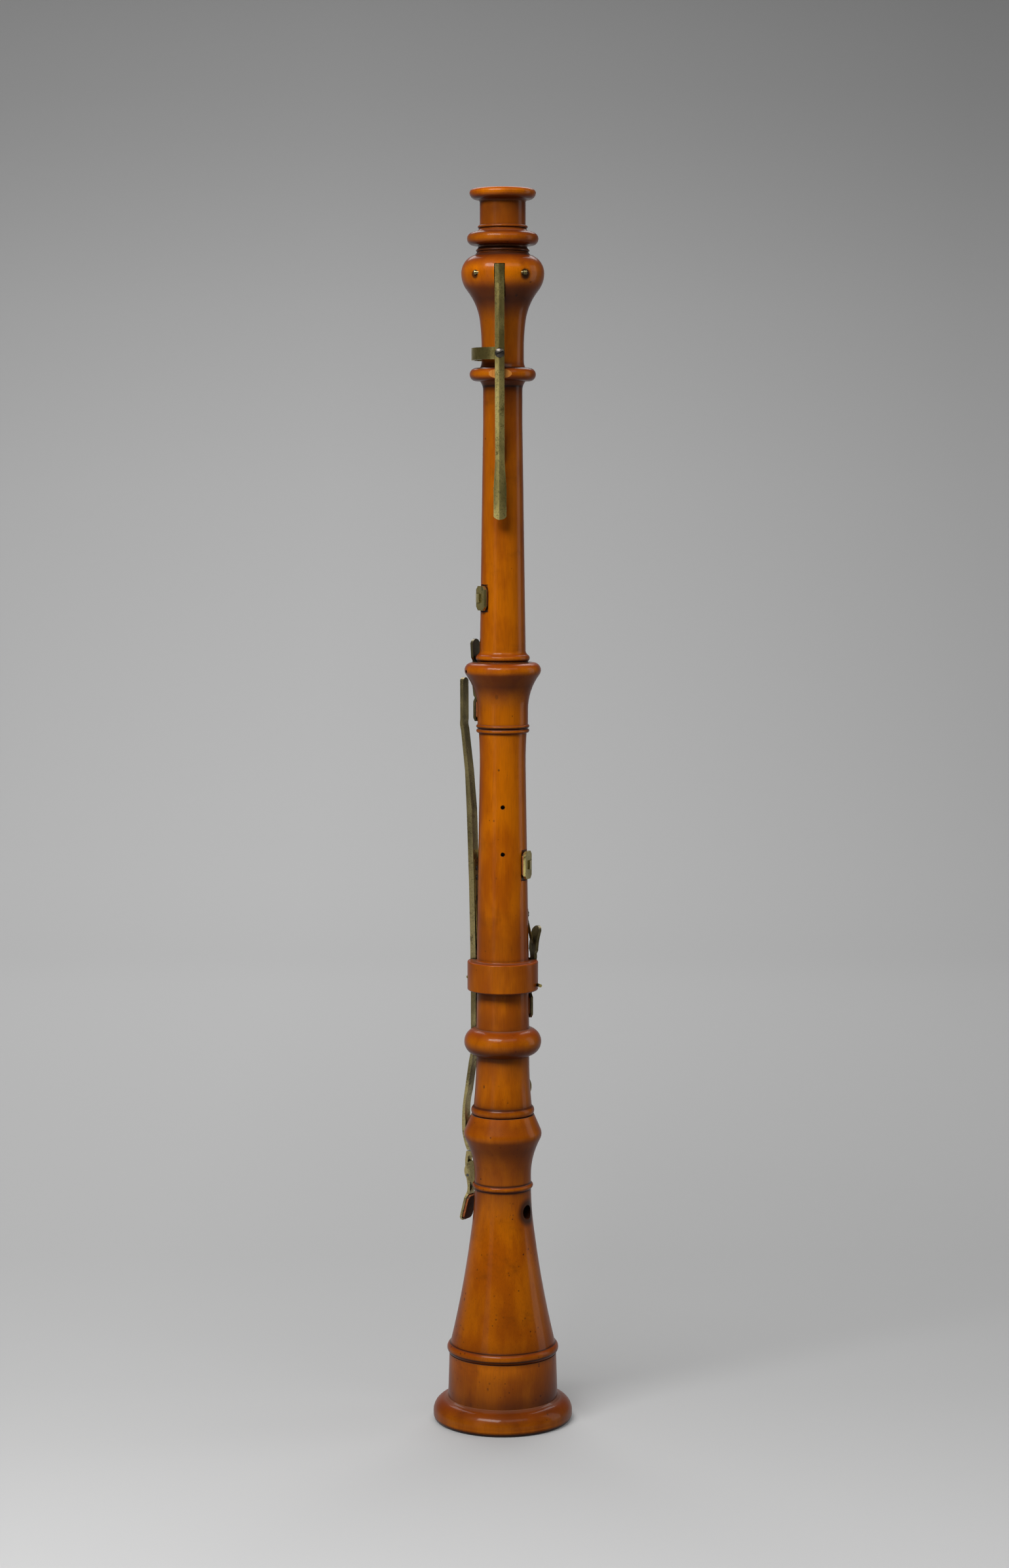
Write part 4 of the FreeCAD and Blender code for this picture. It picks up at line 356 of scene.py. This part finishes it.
def aged_metal(name, bright, dull, darkest, rough, tarnish):
    """Filed metal, tarnished in patches, dirty in its corners and bright along its edges."""
    finish, tree, shader = new_finish(name)
    place = put(tree, "TexCoord").outputs["Object"]
    filing = apply_effect(tree, filed_metal, {"Place": place})
    patch = between(tree, filing["Patches"], 0.62 - tarnish, 0.74 - tarnish)
    edge = apply_effect(tree, edge_wear_and_sheen, {"Width": bright_width})["Edge"]
    dirt = apply_effect(tree, hollow_dirt_and_shade, {"Reach": corner_reach, "Depth": corner_depth})["Dirt"]
    handled = between(tree, cloud(tree, stretched(tree, place, 1, 1, 0.4), 90, 3), 0.38, 0.6)
    colour = coated(tree, handled, most_handled, bright, dull)
    fine = between(tree, cloud(tree, place, 1500, 4, 0.7), 0.5, 0.66)
    colour = coated(tree, fine, most_fine, colour, darkest)
    colour = blended(tree, patch, colour, dull)
    colour = coated(tree, between(tree, filing["Lines"], 0.55, 0.8), most_line, colour, dull)
    colour = blended(tree, dirt, colour, darkest)
    colour = coated(tree, edge, most_bright, colour, bright)
    tree.links.new(colour, shader.inputs["Base Color"])
    shader.inputs["Metallic"].default_value = 0.88
    patchy = reckon(tree, "ADD", rough, reckon(tree, "MULTIPLY", patch, patch_rougher))
    tree.links.new(patchy, shader.inputs["Roughness"])
    relief = reckon(tree, "ADD", filing["Lines"], reckon(tree, "MULTIPLY", filing["Patches"], 0.5))
    raise_surface(tree, shader, relief, 0.1, 0.0001)
    return finish


key_brass = aged_metal("aged key brass", tone(206, 188, 116), tone(112, 99, 54), tone(36, 30, 17),
                       rough=0.24, tarnish=0.05)
# Painted shade: darker copies of the key brass for the keys and screw ends that lie in shade.
shaded_key_brass = aged_metal("shaded key brass", tone(176, 160, 110), tone(104, 92, 60), tone(32, 26, 17),
                        rough=0.26, tarnish=0.05)
deep_shaded_key_brass = aged_metal("deep shaded key brass", tone(124, 112, 76), tone(74, 66, 43), tone(26, 22, 15),
                         rough=0.28, tarnish=0.08)
finish_nodes(key_brass, "octave_key_lever", "octave_key_band", "bflat_saddle", "bflat_key", "f_saddle",
             "f_key", "c_touch_key", "c_flap_key")
finish_nodes(shaded_key_brass, "low_b_key", "bell_key", "bell_key_saddle")
finish_nodes(deep_shaded_key_brass, "gsharp_key", "eflat_key")

# Springs, pins and screws: hammered brass leaves, drawn steel pins, and turned steel screws
# that have dulled to grey with a brown bloom.
spring_brass = aged_metal("hammered spring brass", tone(150, 124, 66), tone(92, 74, 42), tone(36, 28, 18),
                          rough=0.34, tarnish=0.14)
pin_steel = aged_metal("dull pin steel", tone(100, 97, 93), tone(68, 62, 55), tone(24, 20, 17),
                       rough=0.32, tarnish=0.04)
finish_nodes(spring_brass, "octave_key_spring", "bflat_spring", "gsharp_spring", "f_spring", "eflat_spring",
             "c_touch_spring", "c_flap_spring", "low_b_spring", "bell_key_spring")
finish_nodes(pin_steel, "octave_key_screw", "bflat_saddle_screws", "bflat_pivot_pin", "gsharp_pivot_pin",
             "f_saddle_screws", "f_pivot_pin", "eflat_spring_screw", "c_touch_pivot_pin", "c_flap_pivot_pin",
             "low_b_spring_rivets", "bell_key_saddle_screws", "bell_key_pivot_pin")
finish_nodes(key_brass, "eflat_pivot_pin", "low_b_pivot_pin")

# Octave key's pivot screw: turned from brass rod, with a slotted head at one end and a knurled
# knob at the other. Both ends lie sunk in the bulb.
pivot_half, pivot_thick = 0.0106, 0.00075
head_thick, head_long, head_round = 0.00105, 0.0010, 0.00022
slot_wide, slot_deep, slot_turn, saw_long = 0.00035, 0.00035, 0.75, 0.004
knob_thick, knob_long, knob_ridges = 0.00125, 0.0014, 14
ridge_gap, ridge_deep, knob_lip, knob_dish = 0.00006, 0.00022, 0.00035, 0.0003
low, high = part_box("octave_key_pivot_screw")
pivot_middle = ((low + high) / 2).z
pivot_out = 0.0153


def turned_rod(thick, long, middle, sides):
    """A round rod along X."""
    bpy.ops.mesh.primitive_cylinder_add(vertices=sides, radius=thick, depth=long, location=(middle, 0, 0),
                                        rotation=(0, math.pi / 2, 0))
    rod = bpy.context.active_object
    bpy.ops.object.transform_apply(location=True, rotation=True, scale=True)
    return rod


def select_faces(piece, chosen):
    """Selects faces by a test on their place, then goes into edit mode."""
    bpy.ops.object.mode_set(mode="EDIT")
    bpy.ops.mesh.select_mode(type="FACE")
    bpy.ops.mesh.select_all(action="DESELECT")
    bpy.ops.object.mode_set(mode="OBJECT")
    for index, face in enumerate(piece.data.polygons):
        face.select = chosen(index, face)
    bpy.ops.object.mode_set(mode="EDIT")


bpy.ops.object.select_all(action="DESELECT")
shaft = turned_rod(pivot_thick, 2 * pivot_half, 0, 32)
head = turned_rod(head_thick, head_long, -pivot_half - head_long / 2, 40)
select_faces(head, lambda index, face: face.normal.x < -0.9)
bpy.ops.mesh.bevel(offset=head_round, segments=3, affect="EDGES")
bpy.ops.object.mode_set(mode="OBJECT")
bpy.ops.mesh.primitive_cube_add(size=1, location=(-pivot_half - head_long, 0, 0),
                                rotation=(slot_turn, 0, 0), scale=(2 * slot_deep, saw_long, slot_wide))
saw = bpy.context.active_object
sawn = head.modifiers.new("sawn slot", "BOOLEAN")
sawn.object = saw
sawn.operation = "DIFFERENCE"
bpy.context.view_layer.objects.active = head
bpy.ops.object.modifier_apply(modifier=sawn.name)
bpy.data.objects.remove(saw)
bpy.ops.object.select_all(action="DESELECT")
knob = turned_rod(knob_thick, knob_long, pivot_half + knob_long / 2, 2 * knob_ridges)
select_faces(knob, lambda index, face: abs(face.normal.x) < 0.1 and index % 2)
bpy.ops.mesh.inset(thickness=ridge_gap, use_individual=True)
bpy.ops.transform.shrink_fatten(value=-ridge_deep)
select_faces(knob, lambda index, face: face.normal.x > 0.9)
bpy.ops.mesh.inset(thickness=knob_lip)
bpy.ops.mesh.inset(thickness=knob_dish, depth=-knob_dish)
bpy.ops.object.mode_set(mode="OBJECT")
for rod in (shaft, head, knob):
    rod.select_set(True)
bpy.context.view_layer.objects.active = knob
bpy.ops.object.join()
pivot_screw = bpy.context.active_object
pivot_screw.name = "octave_pivot_screw"
pivot_screw.rotation_euler = (0, 0, thumb_turn)
pivot_screw.location = (pivot_out * thumb_side[0], pivot_out * thumb_side[1], pivot_middle)
bpy.ops.object.transform_apply(location=True, rotation=True, scale=True)
bpy.ops.object.shade_smooth_by_angle(angle=math.radians(32))
pivot_screw.data.materials.clear()
# The screw takes the shaded copy of the key brass: painted shade on its sunk ends.
pivot_screw.data.materials.append(shaded_key_brass)
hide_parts("octave_key_pivot_screw")
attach(pivot_screw, "upper_joint")

# Pads: soft leather glued under each flap, skin outward, cut by knife so that the tan edge
# shows. Use has domed each pad and pressed the ring of its tone hole into it.
skin_brown = tone(78, 50, 34)
skin_pale = tone(104, 66, 42)
cut_edge = tone(176, 98, 50)
leather_shade = tone(38, 24, 17)
leather, tree, shader = new_finish("pad leather")
place = put(tree, "TexCoord").outputs["Object"]
pores = put(tree, "TexVoronoi", {"Vector": place, "Scale": 3600}).outputs["Distance"]
crease = cloud(tree, place, 900, 4)
colour = blended(tree, between(tree, crease, 0.4, 0.7), skin_brown, skin_pale)
colour = blended(tree, put(tree, "Attribute", attribute_name="cut_edge").outputs["Fac"], colour, cut_edge)
colour = coated(tree, between(tree, pores, 0.35, 0.7), 0.5, colour, leather_shade)
dirt = apply_effect(tree, hollow_dirt_and_shade, {"Reach": 0.001, "Depth": 0.6})["Dirt"]
tree.links.new(blended(tree, dirt, colour, leather_shade), shader.inputs["Base Color"])
shader.inputs["Roughness"].default_value = 0.72
shader.inputs["Specular IOR Level"].default_value = 0.3
relief = reckon(tree, "SUBTRACT", reckon(tree, "MULTIPLY", crease, 1.5), pores)
raise_surface(tree, shader, relief, 0.5, 0.00006)
pad_voxel, double_gap = 0.00022, 0.000002
pad_dome, pad_waist, pad_taper = 0.3, 0.05, 0.06
hole_ring, hole_ring_wide, hole_ring_deep = 0.0026, 0.0003, 0.00009
cut_start, cut_blur = 0.9, 0.07
cut_full, cut_fade, cut_least = 1.6, 1.2, 0.25


def leather_pad(node, body):
    """A pad worked up from a copy of its flat blank, in the pad's own directions."""
    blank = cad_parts[node]
    pad = bpy.data.objects.new("leather_" + node, blank.data.copy())
    scene.collection.objects.link(pad)
    bpy.ops.object.select_all(action="DESELECT")
    pad.select_set(True)
    bpy.context.view_layer.objects.active = pad
    bpy.ops.object.mode_set(mode="EDIT")
    bpy.ops.mesh.select_all(action="SELECT")
    bpy.ops.mesh.remove_doubles(threshold=double_gap)
    bpy.ops.mesh.normals_make_consistent(inside=False)
    bpy.ops.object.mode_set(mode="OBJECT")
    thick = pad.modifiers.new("even mesh", "REMESH")
    thick.mode = "VOXEL"
    thick.voxel_size = pad_voxel
    bpy.ops.object.modifier_apply(modifier=thick.name)
    points = np.array([point.co[:] for point in pad.data.vertices])
    middle = (points.max(axis=0) + points.min(axis=0)) / 2
    _, ways = np.linalg.eigh(np.cov((points - middle).T))
    through = ways[:, 0] * math.copysign(1, ways[:, 0] @ [middle[0], middle[1], 0])
    ways = np.column_stack([ways[:, 2], ways[:, 1], through])
    local = (points - middle) @ ways
    half = np.abs(local).max(axis=0)
    share = local / half
    rim = np.clip(np.maximum(np.abs(share[:, 0]), np.abs(share[:, 1])), 0, 1)
    inner = np.clip(-share[:, 2], 0, 1)
    drawn_in = 1 - pad_waist * (1 - share[:, 2] ** 2) - pad_taper * inner ** 4
    cut = pad.data.attributes.new("cut_edge", "FLOAT", "POINT")
    fade = np.clip(cut_full - cut_fade * inner, cut_least, 1)
    cut.data.foreach_set("value", np.clip((rim - cut_start) / cut_blur, 0, 1) * fade)
    local[:, :2] *= drawn_in[:, None]
    ring = np.exp(-((np.hypot(local[:, 0], local[:, 1]) - hole_ring) / hole_ring_wide) ** 2)
    local[:, 2] += inner * (pad_dome * half[2] * rim ** 4 + hole_ring_deep * ring)
    points = local @ ways.T + middle
    pad.data.vertices.foreach_set("co", points.astype(np.float32).ravel())
    pad.data.update()
    bpy.ops.object.mode_set(mode="EDIT")
    bpy.ops.mesh.select_all(action="SELECT")
    bpy.ops.mesh.vertices_smooth(factor=0.5, repeat=2)
    bpy.ops.object.mode_set(mode="OBJECT")
    bpy.ops.object.shade_smooth()
    pad.data.materials.clear()
    pad.data.materials.append(leather)
    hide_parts(node)
    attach(pad, body)


for pad_node, pad_body in (("octave_key_pad", "octave_key"), ("bflat_pad", "bflat_key"),
                           ("gsharp_pad", "gsharp_key"), ("f_pad", "f_key"), ("eflat_pad", "eflat_key"),
                           ("c_pad", "c_flap_key"), ("bell_key_pad", "bell_key")):
    leather_pad(pad_node, pad_body)

# Tenon lappings: waxed linen thread wound side by side in the groove of each tenon, over a
# filling of earlier turns, so that the joints grip.
thread_pale = tone(196, 160, 104)
thread_wax = tone(128, 86, 44)
waxed_thread, tree, shader = new_finish("waxed thread")
place = put(tree, "TexCoord").outputs["Object"]
twist = cloud(tree, stretched(tree, place, 1, 1, 4), 2600, 2)
wax = cloud(tree, place, 300, 3)
colour = blended(tree, between(tree, wax, 0.4, 0.65), thread_pale, thread_wax)
colour = coated(tree, between(tree, twist, 0.5, 0.75), 0.5, colour, thread_wax)
tree.links.new(colour, shader.inputs["Base Color"])
shader.inputs["Roughness"].default_value = 0.55
raise_surface(tree, shader, twist, 0.4, 0.00008)
thread_thick = 0.0004
thread_sides, turn_steps, core_sides = 8, 40, 64


def thread_lapping(node, body):
    """One layer of turns wound with a screw, over a plain core that fills the groove."""
    low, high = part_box(node)
    across = [point.co.xy.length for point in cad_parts[node].data.vertices]
    inner, outer = min(across), max(across)
    turns = int((high.z - low.z) / thread_thick) - 1
    bpy.ops.object.select_all(action="DESELECT")
    bpy.ops.mesh.primitive_circle_add(vertices=thread_sides, radius=thread_thick / 2,
                                      rotation=(math.pi / 2, 0, 0),
                                      location=(outer - thread_thick / 2, 0, low.z + thread_thick / 2))
    winding = bpy.context.active_object
    bpy.ops.object.transform_apply(location=True, rotation=True, scale=True)
    screw = winding.modifiers.new("winding", "SCREW")
    screw.screw_offset = thread_thick
    screw.iterations = turns
    screw.steps = screw.render_steps = turn_steps
    screw.use_merge_vertices = False
    bpy.ops.object.modifier_apply(modifier=screw.name)
    bpy.ops.object.mode_set(mode="EDIT")
    bpy.ops.mesh.select_all(action="SELECT")
    bpy.ops.mesh.region_to_loop()
    bpy.ops.mesh.edge_face_add()
    bpy.ops.object.mode_set(mode="OBJECT")
    bpy.ops.mesh.primitive_cylinder_add(vertices=core_sides, radius=outer - thread_thick / 2,
                                        depth=high.z - low.z, end_fill_type="NOTHING",
                                        location=(0, 0, (low.z + high.z) / 2))
    core = bpy.context.active_object
    wall = core.modifiers.new("wall", "SOLIDIFY")
    wall.thickness = outer - thread_thick / 2 - inner
    wall.offset = -1
    bpy.ops.object.modifier_apply(modifier=wall.name)
    winding.select_set(True)
    bpy.ops.object.transform_apply(location=True, rotation=True, scale=True)
    bpy.ops.object.join()
    lapping = bpy.context.active_object
    lapping.name = "thread_" + node
    bpy.ops.object.mode_set(mode="EDIT")
    bpy.ops.mesh.select_all(action="SELECT")
    bpy.ops.mesh.normals_make_consistent(inside=False)
    bpy.ops.object.mode_set(mode="OBJECT")
    bpy.ops.object.shade_smooth_by_angle(angle=math.radians(50))
    lapping.data.materials.clear()
    lapping.data.materials.append(waxed_thread)
    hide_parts(node)
    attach(lapping, body)


thread_lapping("lower_tenon_lapping", "lower_joint")
thread_lapping("upper_tenon_lapping", "upper_tenon_lapping")

# Studio: a sheet of grey paper that lies on the table and sweeps up behind the oboe, darker
# towards the top, so nothing shows but the oboe and its small shadow.
paper_front, paper_bend, paper_turn, paper_top, paper_half = -2.6, 1.4, 0.9, 3.4, 3.2
paper_greys = ((-0.2, 0.44), (0.05, 0.37), (0.3, 0.36), (0.7, 0.41), (1.25, 0.48), (1.7, 0.515), (2.6, 0.555),
               (2.9, 0.54), (3.3, 0.455))
paper_glow = ((-0.2, 0.096), (0.15, 0.07), (0.9, 0.072), (1.9, 0.07), (2.4, 0.065), (2.75, 0.058), (3.3, 0.034))
shaded_from, shaded_to, shaded_side = -0.2, 0.55, 0.2
bend_steps, edge_slack = 24, 0.001
diffuse_share = 0.3
floor_level = drawn_box[0][2]
bpy.ops.object.select_all(action="DESELECT")
bpy.ops.mesh.primitive_grid_add(x_subdivisions=2, y_subdivisions=8, size=1)
paper = bpy.context.active_object
paper.name = "paper_sweep"
paper.scale = (2 * paper_half, paper_bend - paper_front, 1)
paper.location = (0, (paper_bend + paper_front) / 2, floor_level)
bpy.ops.object.transform_apply(location=True, rotation=True, scale=True)
for point in paper.data.vertices:
    point.select = point.co.y > paper_bend - edge_slack
for edge in paper.data.edges:
    edge.select = all(paper.data.vertices[end].select for end in edge.vertices)
for face in paper.data.polygons:
    face.select = False
bpy.ops.object.mode_set(mode="EDIT")
bpy.ops.mesh.select_mode(type="EDGE")
bpy.ops.mesh.spin(steps=bend_steps, angle=-math.pi / 2, axis=(1, 0, 0),
                  center=(0, paper_bend, floor_level + paper_turn))
bpy.ops.mesh.extrude_region_move(TRANSFORM_OT_translate={"value": (0, 0, paper_top - paper_turn)})
bpy.ops.mesh.select_all(action="SELECT")
bpy.ops.mesh.remove_doubles(threshold=edge_slack / 10)
bpy.ops.object.mode_set(mode="OBJECT")
bpy.ops.object.shade_smooth()
grey_paper, tree, shader = new_finish("grey paper")
place = put(tree, "SeparateXYZ", {0: put(tree, "TexCoord").outputs["Object"]}).outputs
along = reckon(tree, "ADD", place[1], place[2])
to_right = put(tree, "MapRange", {"Value": place[0], "From Min": shaded_from, "From Max": shaded_to,
                                  "To Min": 1, "To Max": 1 - shaded_side}).outputs[0]
albedo = reckon(tree, "MULTIPLY", looked_up(tree, along, paper_greys), to_right)
glow = reckon(tree, "MULTIPLY", looked_up(tree, along, paper_glow), to_right)
paths = put(tree, "LightPath").outputs
seen = reckon(tree, "MAXIMUM", paths["Is Camera Ray"],
              reckon(tree, "MAXIMUM", paths["Is Glossy Ray"], paths["Is Transmission Ray"]))
dimmed = put(tree, "MapRange", {"Value": seen, "To Min": diffuse_share, "To Max": 1}).outputs[0]
tree.links.new(reckon(tree, "MULTIPLY", albedo, dimmed), shader.inputs["Base Color"])
tree.links.new(glow, shader.inputs["Emission Color"])
tree.links.new(seen, shader.inputs["Emission Strength"])
shader.inputs["Roughness"].default_value = 0.9
shader.inputs["Specular IOR Level"].default_value = 0.1
paper.data.materials.append(grey_paper)

# Lamps: two large soft boxes hang over the table in front of the oboe, the left one stronger,
# and a wide one hangs behind it. A pale panel stands on each side, and the room is dim.
lamp_aim = Vector((0, 0, 0.24))
room_grey = 0.1


def soft_box(name, power, wide, tall, azimuth, lift, away):
    """A rectangular lamp that faces the oboe, placed by its direction and its distance."""
    azimuth, lift = math.radians(azimuth), math.radians(lift)
    reach = Vector((math.sin(azimuth) * math.cos(lift), -math.cos(azimuth) * math.cos(lift), math.sin(lift)))
    bpy.ops.object.light_add(type="AREA", location=lamp_aim + away * reach)
    lamp = bpy.context.active_object
    lamp.name = name
    lamp.data.shape = "RECTANGLE"
    lamp.data.energy = power
    lamp.data.size = wide
    lamp.data.size_y = tall
    lamp.visible_camera = False
    lamp.rotation_euler = reach.to_track_quat("Z", "Y").to_euler()


soft_box("left soft box", 21.5, 0.9, 0.45, -31, 48, 1.45)
soft_box("right soft box", 2.6, 0.9, 0.45, 30, 48, 1.45)
soft_box("left panel", 0.9, 0.36, 1.4, -41, 3, 1.3)
soft_box("right panel", 3.5, 0.5, 1.6, 98, 5, 1.3)
soft_box("far soft box", 30, 2.0, 1.4, 180, 50, 2.2)
world = bpy.data.worlds.new("room")
world.use_nodes = True
world.node_tree.nodes["Background"].inputs[0].default_value = (room_grey, room_grey, room_grey, 1)
scene.world = world
